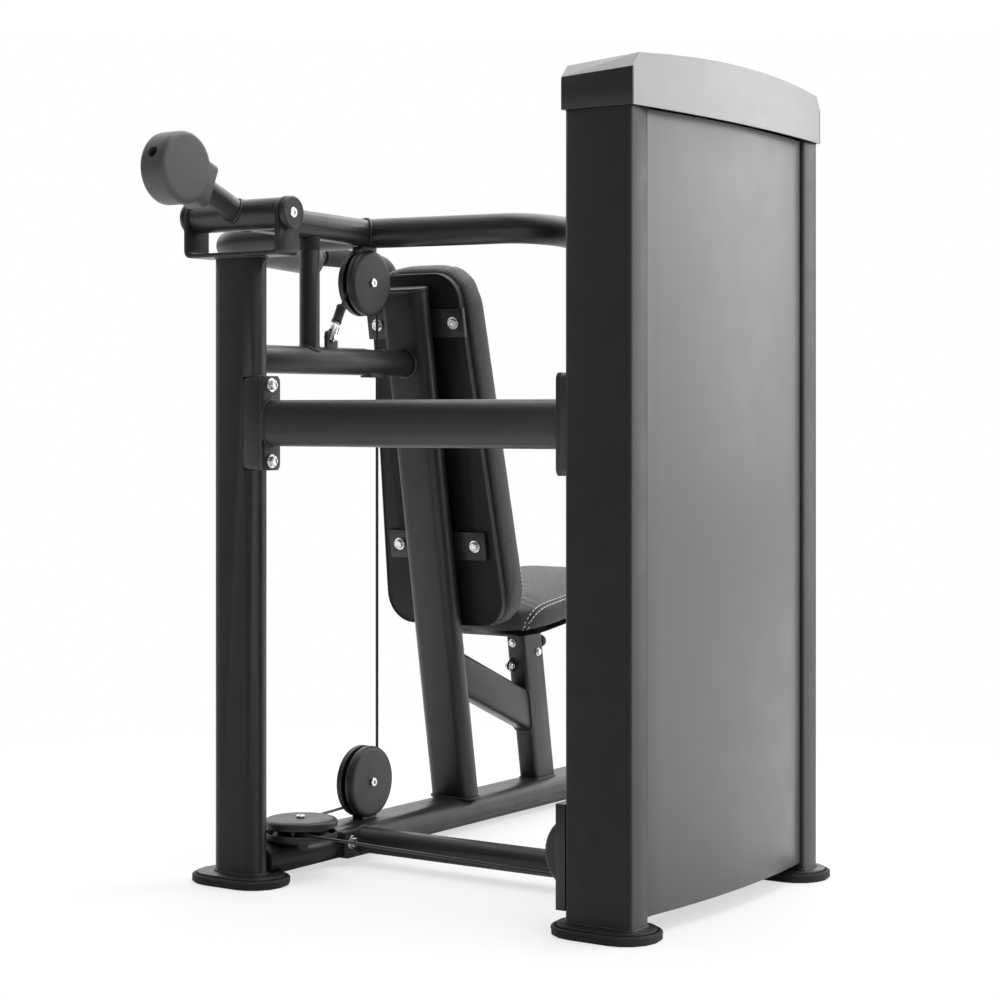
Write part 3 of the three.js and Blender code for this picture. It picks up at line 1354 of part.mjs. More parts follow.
// The run from the base pulley, round the flat one and the tower's, and over the two head pulleys
const baseRun = [
  v(0, basePulley.y + basePulley.track, basePulley.high + cable.tail),
  ...arc(baseCentre, v(0, basePulley.track, 0), xSide, -quarterTurn, arcSteps),
  ...arc(flatCentre, v(-flatPulley.track, 0, 0), zUp, quarterTurn, arcSteps),
  ...arc(towerCentre, v(0, 0, -towerPulley.track), ySide, -quarterTurn, arcSteps),
  ...arc(rearHead, headWay.clone().multiplyScalar(-headPulley.track), headAxis, -quarterTurn, arcSteps),
  ...arc(frontHead, v(0, 0, headPulley.track), headAxis, -quarterTurn, arcSteps),
  v(stackTop.x, stackTop.y, stackTop.z - cable.tail),
];

// A straight length of cable between two points, short of them by what is given for each end
function strand(start, end, startTrim, endTrim) {
  const way = end.clone().sub(start).normalize();
  const from = start.clone().addScaledVector(way, startTrim);
  return rod(from, end.clone().addScaledVector(way, -endTrim), cable.round, cable.sides);
}

const tailTrim = cable.tail + touch;
const endStrand = strand(alongStrand(fittingEnd), topRear, touch, tailTrim);
const downStrand = strand(downTop, baseFront, tailTrim, tailTrim);
const stackStrand = strand(stackTop, v(tower.x, towerMidY, stemTop), tailTrim, touch);
add(machine, 'cable_end_fitting', buildFitting(), paints.zinc);
add(machine, 'cable_end_strand', endStrand, paints.cable);
add(machine, 'cable_top_wrap', tubeAlong(topWrap, cable.round, cable.sides), paints.cable);
add(machine, 'cable_down_strand', downStrand, paints.cable);
add(machine, 'cable_base_run', tubeAlong(baseRun, cable.round, cable.sides), paints.cable);
add(machine, 'cable_stack_strand', stackStrand, paints.cable);

// The origin moves to the middle of the footprint, on the floor
machine.updateMatrixWorld(true);
const bounds = new THREE.Box3().setFromObject(machine, true);
const middle = bounds.getCenter(v(0, 0, 0));
machine.position.set(-middle.x, -middle.y, -bounds.min.z);

export default machine;
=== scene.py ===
import json
import math

import bmesh
import bpy
from bpy.props import FloatProperty, FloatVectorProperty, IntProperty, PointerProperty
from bpy.types import Operator, Panel, PropertyGroup
from mathutils import Matrix, Vector
from mathutils.bvhtree import BVHTree
from mathutils.kdtree import KDTree

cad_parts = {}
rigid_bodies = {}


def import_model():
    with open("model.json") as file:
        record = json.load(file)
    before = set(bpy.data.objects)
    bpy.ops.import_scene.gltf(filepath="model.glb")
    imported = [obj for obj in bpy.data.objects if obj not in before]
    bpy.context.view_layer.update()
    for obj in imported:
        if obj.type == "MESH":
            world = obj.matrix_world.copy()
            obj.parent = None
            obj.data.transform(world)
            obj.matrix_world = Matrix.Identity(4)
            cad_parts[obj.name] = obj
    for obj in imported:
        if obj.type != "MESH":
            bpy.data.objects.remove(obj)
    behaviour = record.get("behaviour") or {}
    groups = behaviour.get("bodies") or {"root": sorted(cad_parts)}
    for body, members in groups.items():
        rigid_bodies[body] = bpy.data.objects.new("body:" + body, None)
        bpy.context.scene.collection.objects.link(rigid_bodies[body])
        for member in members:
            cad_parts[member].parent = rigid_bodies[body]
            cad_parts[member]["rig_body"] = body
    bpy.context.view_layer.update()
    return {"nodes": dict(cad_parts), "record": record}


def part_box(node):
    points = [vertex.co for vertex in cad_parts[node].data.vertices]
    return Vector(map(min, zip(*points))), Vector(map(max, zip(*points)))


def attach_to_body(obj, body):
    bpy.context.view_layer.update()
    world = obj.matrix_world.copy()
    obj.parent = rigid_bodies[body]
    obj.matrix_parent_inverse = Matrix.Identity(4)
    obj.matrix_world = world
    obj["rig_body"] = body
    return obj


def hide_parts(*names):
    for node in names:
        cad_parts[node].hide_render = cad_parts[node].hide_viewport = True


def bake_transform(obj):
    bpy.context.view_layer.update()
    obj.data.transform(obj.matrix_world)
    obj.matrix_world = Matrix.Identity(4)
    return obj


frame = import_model()

bl_info = {
    "name": "Shoulder press machine",
    "version": (1, 0, 0),
    "blender": (4, 5, 0),
    "location": "View3D > Sidebar > Press",
    "description": "Builds the finished look of a shoulder press machine around its packed solids",
    "category": "Object",
}

MM = 0.001
MERGE = 0.00002
X_WAY = Vector((1, 0, 0))
Y_WAY = Vector((0, 1, 0))
Z_WAY = Vector((0, 0, 1))
SIDES = (1, -1)
NODES = frame["nodes"]
SLOT_OF = {row["node"]: row["material_slot"] for row in frame["record"]["subparts"]}
materials = {}

# The machine's own frame: millimetres from the foot of the rear column
shaft_low, shaft_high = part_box("pivot_shaft")
COLUMN = Vector(((shaft_low.x + shaft_high.x) / 2, (shaft_low.y + shaft_high.y) / 2, 0))


def at(x, y, z):
    """A point given in millimetres from the foot of the rear column."""
    return COLUMN + Vector((x, y, z)) * MM


def leaning(y, z):
    """The frame of a post that stands at a point of the middle plane and leans back."""
    return Matrix.Translation(at(0, y, z)) @ Matrix.Rotation(LEAN, 4, "X")


LEAN = math.radians(9.65)
UPRIGHT_TOP = 1100
CAP_HIGH = 10
BEAM_TOP = 68
UPRIGHT_PLACE = 706
SEAT_PLACE = 1028
UPRIGHT = leaning(UPRIGHT_PLACE, BEAM_TOP)
SEAT = leaning(SEAT_PLACE, BEAM_TOP)


def on(place, x, y, z):
    """A point given in millimetres in a leaning frame."""
    return place @ (Vector((x, y, z)) * MM)


def way_of(place, x, y, z):
    """A unit way given in a leaning frame."""
    return (place.to_3x3() @ Vector((x, y, z))).normalized()


# Flanges of both cross beams (x and way out), feet and posts, in mm from the column's foot;
# a section is its width, its depth and the radius of its corners
UPPER_FLANGES = ((74.3, 1), (726.7, -1))
UPPER_HIGH = 872
BASE_FLANGES = ((69.55, 1), (773.2, -1))
BASE_PLACE = 290
BASE_HIGH = 45
TOWER = 813
TOWER_FRONT = 637.4
BEAM_FRONT = 1222
FOOT_PLATE = 20
MAIN_TUBE = (110, 52, 26)
TOWER_POST = (134, 58.6, 9)
FLANGE_SHARE = 0.81

# Pulleys and cable: how far both upright pulleys stand from the column, and the strands' ends
PULLEY_PLACE = 385
CABLE_LUG = at(0, 275, 1042)
END_LOW = at(0, 306.78, 1099.85)
END_HIGH = at(0, 348.19, 1175.22)
DOWN_LOW = at(0, 427, 144)
DOWN_HIGH = at(0, 427, 1153)
CABLE_RADIUS = 3

# Bolts and screws
BOLT_HIGH = 14
SOCKET_DEEP = 2.6
SOCKET_SHARE = 0.52
SMALL_EDGE = 0.6


# Sizes and colours that a user would change
def length(name, description, value):
    return FloatProperty(
        name=name, description=description, default=value, min=0, unit="LENGTH", precision=4
    )


def colour(name, description, value):
    return FloatVectorProperty(
        name=name, description=description, default=value, min=0, max=1, size=3, subtype="COLOR"
    )


def amount(name, description, value, unit="NONE"):
    return FloatProperty(name=name, description=description, default=value, min=0, unit=unit)


def whole(name, description, value, low, high):
    return IntProperty(name=name, description=description, default=value, min=low, max=high)


class FinishSettings(PropertyGroup):
    frame_colour: colour("Frame", "Powder coat of the tubes", (0.0145, 0.0157, 0.0170))
    # Painted light: the panel gets a paler upper edge and a darker lower edge, standing in for
    # light from above
    panel_lit_top: colour("Panel, upper", "Side panel at its upper edge", (0.142, 0.145, 0.149))
    panel_shaded_foot: colour("Panel, lower", "Side panel at its lower edge", (0.084, 0.086, 0.089))
    cap_colour: colour("Cap", "Silver paint of the tower's cap", (0.295, 0.30, 0.305))
    leather_colour: colour("Leather", "Covers of the pads", (0.016, 0.016, 0.017))
    thread_colour: colour("Thread", "Stitching of the seat", (0.78, 0.78, 0.77))
    board_colour: colour("Board", "Cover at the back of the back pad", (0.006, 0.006, 0.007))
    rubber_colour: colour("Rubber", "Feet, grips and bumpers", (0.013, 0.013, 0.014))
    plastic_colour: colour("Plastic", "Pulley covers, caps and knobs", (0.018, 0.018, 0.020))
    iron_colour: colour("Iron", "Counterweight and weight plates", (0.052, 0.053, 0.055))
    zinc_colour: colour("Zinc", "Bolts and guide rods", (0.72, 0.73, 0.75))
    steel_colour: colour("Steel", "Bare steel of the seat slide", (0.52, 0.53, 0.55))
    cable_colour: colour("Cable", "Nylon jacket of the cable", (0.010, 0.010, 0.011))


class FrameSettings(PropertyGroup):
    edge: length("Edge", "Rounding of sharp edges of the metal", 0.0012)
    bead: length("Weld bead", "Radius of the weld beads", 0.0036)
    tube_sides: whole("Tube sides", "Sides of a round tube", 40, 12, 96)
    bend_steps: whole("Bend steps", "Steps of a tube's bend", 14, 4, 48)


class UpholsterySettings(PropertyGroup):
    voxel: length("Voxel", "Size of the mesh that is inflated", 0.0055)
    shrink: length("Start inset", "How much smaller a pad starts", 0.0015)
    swell: length("Swell", "Farthest that a point of a pad may move", 0.024)
    pressure: amount("Pressure", "Pressure inside a pad", 6.0)
    frames: whole("Frames", "Steps of the simulation that fills a pad", 20, 5, 60)
    valley: length("Seam width", "How far a seam draws the leather in at each side", 0.008)
    depth: length("Seam depth", "How deep a seam draws the leather in", 0.0022)
    thread: length("Thread", "Radius of the stitching thread", 0.0009)
    stitch: length("Stitch", "Length of one stitch", 0.0065)
    stitch_gap: length("Stitch gap", "Gap between stitches", 0.0028)


class StageSettings(PropertyGroup):
    dark_level: amount("Horizon", "Soft light from the horizon", 0.10)
    side_level: amount("Right side", "Soft light from the right", 1.22)
    sky_level: amount("Sky", "Soft light from above", 2.1)
    key_power: amount("Key light", "Large lamp beyond the tower", 25, "POWER")
    side_power: amount("Side light", "Large lamp at the right", 44, "POWER")
    top_power: amount("Top light", "Large lamp above", 98, "POWER")
    floor_colour: colour("Floor", "Pale floor", (0.84, 0.84, 0.84))


# Materials
def node(owner, kind, inputs=(), **settings):
    """Adds a node to a material or world; an input is a number, a colour or a socket."""
    made = owner.node_tree.nodes.new(kind)
    for key, value in settings.items():
        setattr(made, key, value)
    for key, value in dict(inputs).items():
        if isinstance(value, bpy.types.NodeSocket):
            owner.node_tree.links.new(value, made.inputs[key])
        else:
            made.inputs[key].default_value = value
    return made


def ranged(owner, value, low, high, from_low=0.3, from_high=0.7):
    """A value brought from one range to another; the defaults suit a noise texture."""
    inputs = {"From Min": from_low, "From Max": from_high, "To Min": low, "To Max": high}
    return node(owner, "ShaderNodeMapRange", {"Value": value, **inputs}).outputs["Result"]


def figured(owner, operation, *inputs):
    """The result of a Math node."""
    return node(owner, "ShaderNodeMath", dict(enumerate(inputs)), operation=operation).outputs[0]


def shaded(material, tint, factor):
    """A colour made lighter and darker by a factor around one."""
    inputs = {0: tint, "Scale": factor}
    return node(material, "ShaderNodeVectorMath", inputs, operation="SCALE").outputs[0]


def begin(name, roughness, metallic=0.0, specular=0.5):
    """A new material with its surface shader and the coordinates of the piece."""
    material = bpy.data.materials.new(name)
    material.use_nodes = True
    surface = material.node_tree.nodes["Principled BSDF"]
    surface.inputs["Roughness"].default_value = roughness
    surface.inputs["Metallic"].default_value = metallic
    surface.inputs["Specular IOR Level"].default_value = specular
    place = node(material, "ShaderNodeTexCoord").outputs["Object"]
    return material, surface, place


def noise(material, place, scale, detail=2.0, roughness=0.5):
    inputs = {"Vector": place, "Scale": scale, "Detail": detail, "Roughness": roughness}
    return node(material, "ShaderNodeTexNoise", inputs).outputs["Fac"]


def attach(material, surface, tint, rough, height, distance, strength):
    """Puts colour, roughness and relief on the surface shader; distance is in metres."""
    link = material.node_tree.links.new
    link(tint, surface.inputs["Base Color"])
    link(rough, surface.inputs["Roughness"])
    inputs = {"Height": height, "Distance": distance, "Strength": strength}
    link(node(material, "ShaderNodeBump", inputs).outputs["Normal"], surface.inputs["Normal"])


def painted(
    name, tint, roughness, grain, depth, metallic=0.0, specular=0.5, cloud=0.08, strength=0.6
):
    """Paint or moulded plastic: fine grain, slow changes of tone and of gloss."""
    material, surface, place = begin(name, roughness, metallic, specular)
    tone = ranged(material, noise(material, place, 5.0, 3.0), 1 - cloud, 1 + cloud)
    fleck = ranged(material, noise(material, place, grain * 1.7, 1.0), 1 - cloud, 1 + cloud)
    tint = shaded(material, shaded(material, tint, tone), fleck)
    rough = ranged(material, noise(material, place, 22.0, 4.0), roughness - 0.05, roughness + 0.05)
    attach(material, surface, tint, rough, noise(material, place, grain, 2.0), depth, strength)
    return material


def panel_paint(name, top, foot, low, high):
    """Side panel paint with painted light: paler at its upper edge and darker at its lower, as
    light from above falls; low and high are the panel's ends.
    """
    material, surface, place = begin(name, roughness=0.34, metallic=0.25)
    height = node(material, "ShaderNodeSeparateXYZ", {"Vector": place}).outputs["Z"]
    # Painted light: the colour blends by height from the shaded lower edge to the lit upper edge
    share = ranged(material, height, 0.0, 1.0, low, high)
    mix = node(material, "ShaderNodeMix", {"Factor": share}, data_type="RGBA")
    ends = [socket for socket in mix.inputs if socket.type == "RGBA"]
    for socket, value in zip(ends, (foot, top)):
        socket.default_value = (*value, 1)
    painted_light_tint = next(socket for socket in mix.outputs if socket.type == "RGBA")
    fleck = ranged(material, noise(material, place, 900.0, 1.0), 0.94, 1.06)
    rough = ranged(material, noise(material, place, 14.0, 3.0), 0.30, 0.38)
    grain = noise(material, place, 420.0)
    attach(material, surface, shaded(material, painted_light_tint, fleck), rough, grain, 0.00012, 0.5)
    return material


def metal(name, tint, roughness, stretch=(1, 1, 1), scale=160.0):
    """Bare or plated metal with fine drawn lines."""
    material, surface, place = begin(name, roughness, 1.0)
    lined = node(material, "ShaderNodeMapping", {"Vector": place, "Scale": stretch})
    lines = noise(material, lined.outputs["Vector"], scale, 3.0, 0.6)
    tone = ranged(material, noise(material, place, 30.0, 3.0), 0.86, 1.06)
    rough = ranged(material, lines, roughness - 0.07, roughness + 0.08)
    attach(material, surface, shaded(material, tint, tone), rough, lines, 0.0001, 0.35)
    return material


def leather(name, tint):
    """Grained artificial leather: small pebbles parted by creases, with long soft wrinkles; painted
    shade darkens the creases and a painted highlight lightens the pebble tops.
    """
    material, surface, place = begin(name, roughness=0.46, specular=0.55)
    wave = node(material, "ShaderNodeTexNoise", {"Vector": place, "Scale": 150.0, "Detail": 1.0})
    inputs = {0: wave.outputs["Color"], 1: (0.004, 0.004, 0.004)}
    shift = node(material, "ShaderNodeVectorMath", inputs, operation="MULTIPLY").outputs[0]
    moved = node(material, "ShaderNodeVectorMath", {0: place, 1: shift}, operation="ADD").outputs[0]
    inputs = {"Vector": moved, "Scale": 310.0}
    cells = node(material, "ShaderNodeTexVoronoi", inputs, feature="SMOOTH_F1").outputs["Distance"]
    pebble = ranged(material, cells, 1.0, 0.0, 0.1, 0.75)
    pores = ranged(material, noise(material, place, 1900.0, 1.0), 0.0, 0.25)
    height = figured(material, "MULTIPLY_ADD", pebble, noise(material, place, 60.0), pores)
    tone = ranged(material, noise(material, place, 7.0, 3.0), 0.88, 1.14)
    # Painted shade and highlight: the tint is darker in the creases between pebbles and paler on
    # their tops
    painted_crease_shade_and_pebble_light = ranged(material, cells, 1.12, 0.72, 0.15, 0.7)
    rough = ranged(material, cells, 0.40, 0.60, 0.1, 0.7)
    tint = shaded(material, shaded(material, tint, tone), painted_crease_shade_and_pebble_light)
    attach(material, surface, tint, rough, height, 0.0017, 0.85)
    return material


def make_materials():
    """All finishes: roughness, grain in waves a metre, depth in metres, and what differs."""
    finish = bpy.context.scene.press_finish
    low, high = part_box("outer_panel")
    materials.update(
        frame_paint=painted(
            "powder_coat", finish.frame_colour, 0.38, 760.0, 0.00025, specular=0.45, cloud=0.06
        ),
        panel_paint=panel_paint("panel_paint", finish.panel_lit_top, finish.panel_shaded_foot, low.z, high.z),
        cap_silver=painted(
            "cap_silver", finish.cap_colour, 0.36, 1100.0, 0.00008,
            metallic=0.55, cloud=0.04, strength=0.4,
        ),
        zinc=metal("bright_zinc", finish.zinc_colour, 0.26),
        steel=metal("brushed_steel", finish.steel_colour, 0.34, (1, 1, 0.05), 420.0),
        rubber=painted("black_rubber", finish.rubber_colour, 0.72, 520.0, 0.0003, specular=0.35),
        plastic=painted(
            "moulded_plastic", finish.plastic_colour, 0.44, 980.0, 0.00014, specular=0.45
        ),
        leather=leather("grained_leather", finish.leather_colour),
        iron=painted(
            "painted_iron", finish.iron_colour, 0.5, 210.0, 0.0007, specular=0.45, cloud=0.12
        ),
        cable_jacket=painted("nylon_jacket", finish.cable_colour, 0.34, 1500.0, 0.00006),
        board=painted("board_cover", finish.board_colour, 0.5, 640.0, 0.0002, specular=0.25),
        thread=painted("white_thread", finish.thread_colour, 0.7, 2600.0, 0.0002),
    )


# Modelling by hand, in code
def choose(piece):
    """Leaves edit mode and makes a piece the only one selected."""
    if bpy.context.object and bpy.context.object.mode != "OBJECT":
        bpy.ops.object.mode_set(mode="OBJECT")
    bpy.ops.object.select_all(action="DESELECT")
    if piece:
        piece.select_set(True)
        bpy.context.view_layer.objects.active = piece
    return piece


def edit(piece, everything=True):
    choose(piece)
    bpy.ops.object.mode_set(mode="EDIT")
    bpy.ops.mesh.select_mode(type="VERT")
    bpy.ops.mesh.select_all(action="SELECT" if everything else "DESELECT")


def settle(piece, name):
    """Names a new primitive and puts its place into its mesh."""
    piece.name = name
    piece.data.name = name
    bpy.ops.object.transform_apply(location=True, rotation=True, scale=True)
    return piece


def pick(piece, test):
    """In edit mode, selects the vertices whose place passes a test, and what lies between them."""
    bpy.ops.mesh.select_mode(type="VERT")
    bpy.ops.mesh.select_all(action="DESELECT")
    shape = bmesh.from_edit_mesh(piece.data)
    for vertex in shape.verts:
        vertex.select = bool(test(vertex.co))
    shape.select_flush(True)
    bmesh.update_edit_mesh(piece.data)


def pick_faces(piece, test):
    """In edit mode, selects the faces whose middle and normal pass a test."""
    bpy.ops.mesh.select_mode(type="FACE")
    bpy.ops.mesh.select_all(action="DESELECT")
    shape = bmesh.from_edit_mesh(piece.data)
    for face in shape.faces:
        face.select = bool(test(face.calc_center_median(), face.normal))
    bmesh.update_edit_mesh(piece.data)


def turn_to(direction):
    return Z_WAY.rotation_difference(direction.normalized()).to_euler()


def ring(name, centre, direction, radius, sides):
    """An open circle, in edit mode, its rim selected."""
    choose(None)
    bpy.ops.mesh.primitive_circle_add(
        vertices=sides, radius=radius, location=centre, rotation=turn_to(direction)
    )
    piece = settle(bpy.context.object, name)
    edit(piece)
    return piece


def push(way):
    bpy.ops.mesh.extrude_region_move(TRANSFORM_OT_translate={"value": way})


def widen(share, centre):
    bpy.ops.transform.resize(value=(share, share, share), center_override=centre)


def close_ends(piece, ends):
    """Closes the open rims that lie at the given points and turns all faces outwards."""
    for centre, direction, radius in ends:
        def on_rim(co):
            away = co - centre
            return abs(away.dot(direction)) < MERGE * 5 and away.length < radius * 1.02

        pick(piece, on_rim)
        bpy.ops.mesh.edge_face_add()
    clean(piece)


def clean(piece):
    """Merges doubles, turns all faces outwards and leaves edit mode."""
    bpy.ops.mesh.select_all(action="SELECT")
    bpy.ops.mesh.remove_doubles(threshold=MERGE)
    bpy.ops.mesh.normals_make_consistent(inside=False)
    choose(piece)


def turned(name, start, direction, profile, sides):
    """A turned piece: a rim pushed along its axis and widened, step by step.

    The profile is (radius, distance) in mm; one that comes back to its first point is a ring.
    """
    direction = direction.normalized()
    radius, away = profile[0]
    first = start + direction * away * MM
    piece = ring(name, first, direction, radius * MM, sides)
    for next_radius, next_away in profile[1:]:
        push(direction * (next_away - away) * MM)
        if next_radius != radius:
            widen(next_radius / radius, start + direction * next_away * MM)
        radius, away = next_radius, next_away
    last = start + direction * away * MM
    ends = [(first, direction, profile[0][0] * MM), (last, direction, radius * MM)]
    close_ends(piece, [] if profile[0] == profile[-1] else ends)
    return piece


def bent_tube(name, corners, radii, radius):
    """A round tube pushed along straight runs and spun round its bends."""
    settings = bpy.context.scene.press_frame
    way = (corners[1] - corners[0]).normalized()
    piece = ring(name, corners[0], way, radius, settings.tube_sides)
    here = corners[0]
    for before, corner, after, bend in zip(corners, corners[1:], corners[2:], radii):
        arriving = (corner - before).normalized()
        leaving = (after - corner).normalized()
        turn = arriving.angle(leaving)
        from_here = corner - arriving * bend * math.tan(turn / 2)
        push(from_here - here)
        centre = corner + (leaving - arriving).normalized() * bend / math.cos(turn / 2)
        axis = arriving.cross(leaving).normalized()
        bpy.ops.mesh.spin(steps=settings.bend_steps, angle=-turn, center=centre, axis=axis)
        here = corner + leaving * bend * math.tan(turn / 2)
    push(corners[-1] - here)
    last = (corners[-1] - corners[-2]).normalized()
    close_ends(piece, [(corners[0], way, radius), (corners[-1], last, radius)])
    return piece


def modify(piece, kind, **settings):
    """Adds a modifier and applies it."""
    choose(piece)
    bpy.ops.object.modifier_add(type=kind)
    modifier = piece.modifiers[-1]
    for key, value in settings.items():
        setattr(modifier, key, value)
    bpy.ops.object.modifier_apply(modifier=modifier.name)


def round_edges(piece, width, segments=2, angle=32):
    if width > 0:
        limits = {"limit_method": "ANGLE", "angle_limit": math.radians(angle)}
        modify(piece, "BEVEL", width=width, segments=segments, **limits)


def done(piece, body, slot, replaced=(), smooth=34, paint=None):
    """Smooths a piece, gives it its finish, and puts it on its body."""
    choose(piece)
    bpy.ops.object.shade_smooth_by_angle(angle=math.radians(smooth))
    piece.data.materials.clear()
    piece.data.materials.append(materials[paint or slot])
    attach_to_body(piece, body)
    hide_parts(*replaced)
    return piece


def join(pieces, name):
    """Several meshes made one."""
    choose(pieces[0])
    for piece in pieces[1:]:
        piece.select_set(True)
    if len(pieces) > 1:
        bpy.ops.object.join()
    pieces[0].name = name
    pieces[0].data.name = name
    return choose(pieces[0])


def node_copy(source, name):
    """A copy of a CAD node with its loose triangles merged into faces."""
    piece = bpy.data.objects.new(name, NODES[source].data.copy())
    bpy.context.scene.collection.objects.link(piece)
    edit(piece)
    bpy.ops.mesh.remove_doubles(threshold=MERGE)
    bpy.ops.mesh.dissolve_limited(angle_limit=math.radians(0.6))
    return choose(piece)


def dress(source, edge=None, smooth=34, paint=None, strip=(), trim=None, shift=None):
    """The finished copy of a CAD node: bolts taken off, shifted, trimmed, rounded and painted.

    An entry of strip is a point, its way out and a reach; trim is a point and a way to cut off.
    """
    piece = node_copy(source, source + "_finished")
    for point, way, reach in strip:
        take_off(piece, point, way, reach)
    if shift:
        shift(piece)
    if trim:
        cut_above(piece, *trim)
    round_edges(piece, bpy.context.scene.press_frame.edge if edge is None else edge)
    return done(piece, NODES[source]["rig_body"], SLOT_OF[source], (source,), smooth, paint)


def cut_above(piece, point, way):
    """Cuts off what lies beyond a point and closes the cut."""
    edit(piece)
    bpy.ops.mesh.bisect(plane_co=point, plane_no=way, use_fill=True, clear_outer=True)


def take_off(piece, point, way, reach):
    """Deletes what stands out from a clamped face around a point, and closes the hole."""
    edit(piece, False)

    def outside(middle, normal):
        offset = middle - point
        out = offset.dot(way)
        return 0.05 * MM < out < BOLT_HIGH * MM and (offset - way * out).length < reach

    pick_faces(piece, outside)
    bpy.ops.mesh.delete(type="FACE")
    bpy.ops.mesh.select_mode(type="EDGE")
    bpy.ops.mesh.select_all(action="SELECT")
    bpy.ops.mesh.fill_holes(sides=0)
    choose(piece)


def wire(name, points, radius, swells=None, sides=2):
    """A thin round bead or piping that follows a closed line of points, made a mesh."""
    curve = bpy.data.curves.new(name, "CURVE")
    curve.dimensions = "3D"
    curve.bevel_depth = radius
    curve.bevel_resolution = sides
    spline = curve.splines.new("POLY")
    spline.points.add(len(points) - 1)
    for number, (made, point) in enumerate(zip(spline.points, points)):
        made.co = (*point, 1)
        made.radius = swells[number] if swells else 1.0
    spline.use_cyclic_u = True
    piece = bpy.data.objects.new(name, curve)
    bpy.context.scene.collection.objects.link(piece)
    choose(piece)
    bpy.ops.object.convert(target="MESH")
    return choose(bpy.context.object)


def rounded_line(wide, deep, corner, spacing):
    """Points at about equal steps along a rectangle with round corners, about the origin, in mm."""
    across, along = wide / 2 - corner, deep / 2 - corner
    count = max(2, round(corner * math.pi / 2 / spacing))
    points = []
    centres = ((across, along), (-across, along), (-across, -along), (across, -along))
    for quarter, (x, y) in enumerate(centres):
        for step in range(count + 1):
            angle = math.radians(90 * quarter + 90 * step / count)
            points.append(Vector((x + corner * math.cos(angle), y + corner * math.sin(angle), 0)))
    spread = []
    for first, second in zip(points, points[1:] + points[:1]):
        count = max(1, round((second - first).length / spacing))
        spread += [first.lerp(second, step / count) for step in range(count)]
    return spread


def facing(origin, up, side):
    """The frame at a point whose Z runs along up and whose X runs along side."""
    up = up.normalized()
    across = (side - up * side.dot(up)).normalized()
    columns = (across, up.cross(across), up)
    turn = Matrix([[column[row] for column in columns] for row in range(3)])
    return Matrix.Translation(origin) @ turn.to_4x4()


def placed(pattern, name, place):
    """A copy of a pattern, with a mesh of its own, at its place."""
    copy = pattern.copy()
    copy.data = pattern.data.copy()
    copy.name = name
    bpy.context.scene.collection.objects.link(copy)
    copy.data.transform(place)
    return copy


def drawn(name, place, wide, deep, corner, profile, steps=8):
    """A rounded section pushed along its frame's Z and drawn in; profile is [inset, height] in mm.

    A profile that comes back to its first point makes a ring, whose last rim meets the first.
    """
    choose(None)
    half_step = math.pi / 4 / steps
    bpy.ops.mesh.primitive_circle_add(
        vertices=4 * steps, radius=corner * MM, rotation=(0, 0, half_step)
    )
    piece = settle(bpy.context.object, name)
    edit(piece)
    for axis, half in ((0, wide / 2), (1, deep / 2)):
        for side in (1, -1):
            pick(piece, lambda co: co[axis] * side > 0)
            shift = [0, 0, 0]
            shift[axis] = side * (half - corner) * MM
            bpy.ops.transform.translate(value=shift)
    bpy.ops.mesh.select_all(action="SELECT")
    inset, height = 0, 0
    for next_inset, next_height in profile:
        rise = (0, 0, (next_height - height) * MM)
        if [next_inset, next_height] == profile[0]:
            bpy.ops.transform.translate(value=rise)
        else:
            push(rise)
        shares = [(side / 2 - next_inset) / (side / 2 - inset) for side in (wide, deep)]
        bpy.ops.transform.resize(value=(*shares, 1), center_override=(0, 0, 0))
        inset, height = next_inset, next_height
    if profile[0] != profile[-1]:
        for height in (profile[0][1], profile[-1][1]):
            pick(piece, lambda co: abs(co.z - height * MM) < MERGE)
            bpy.ops.mesh.edge_face_add()
    clean(piece)
    piece.data.transform(place)
    return piece


def block(name, size, middle=(0, 0, 0)):
    """A box of a size in mm about a point."""
    choose(None)
    sides = [side * MM for side in size]
    bpy.ops.mesh.primitive_cube_add(size=1, location=middle, scale=sides)
    return settle(bpy.context.object, name)


def combine(piece, tool, operation):
    """Cuts a tool out of a piece or unites both, and removes the tool."""
    modify(piece, "BOOLEAN", object=tool, operation=operation, solver="EXACT")
    bpy.data.objects.remove(tool)
    return choose(piece)


def socket_screw(name, start, way, radius, high):
    """A round screw head with a hexagon socket."""
    profile = [(radius - 0.6, 0), (radius, 0.6), (radius, high - 1.2), (radius - 1.2, high)]
    head = turned(name, start, way, [*profile, (0.4, high)], 32)
    floor = start + way * (high - SOCKET_DEEP) * MM
    corners = radius * SOCKET_SHARE
    socket = turned("socket", floor, way, [(corners, 0), (corners, 4)], 6)
    return combine(head, socket, "DIFFERENCE")


# Stage
CAMERA_PLACE = (2.6976, -3.8974, 0.8917)
CAMERA_TURN = math.radians(34.11)
SIDE_WAY = (0.86, 0.50, 0.0)


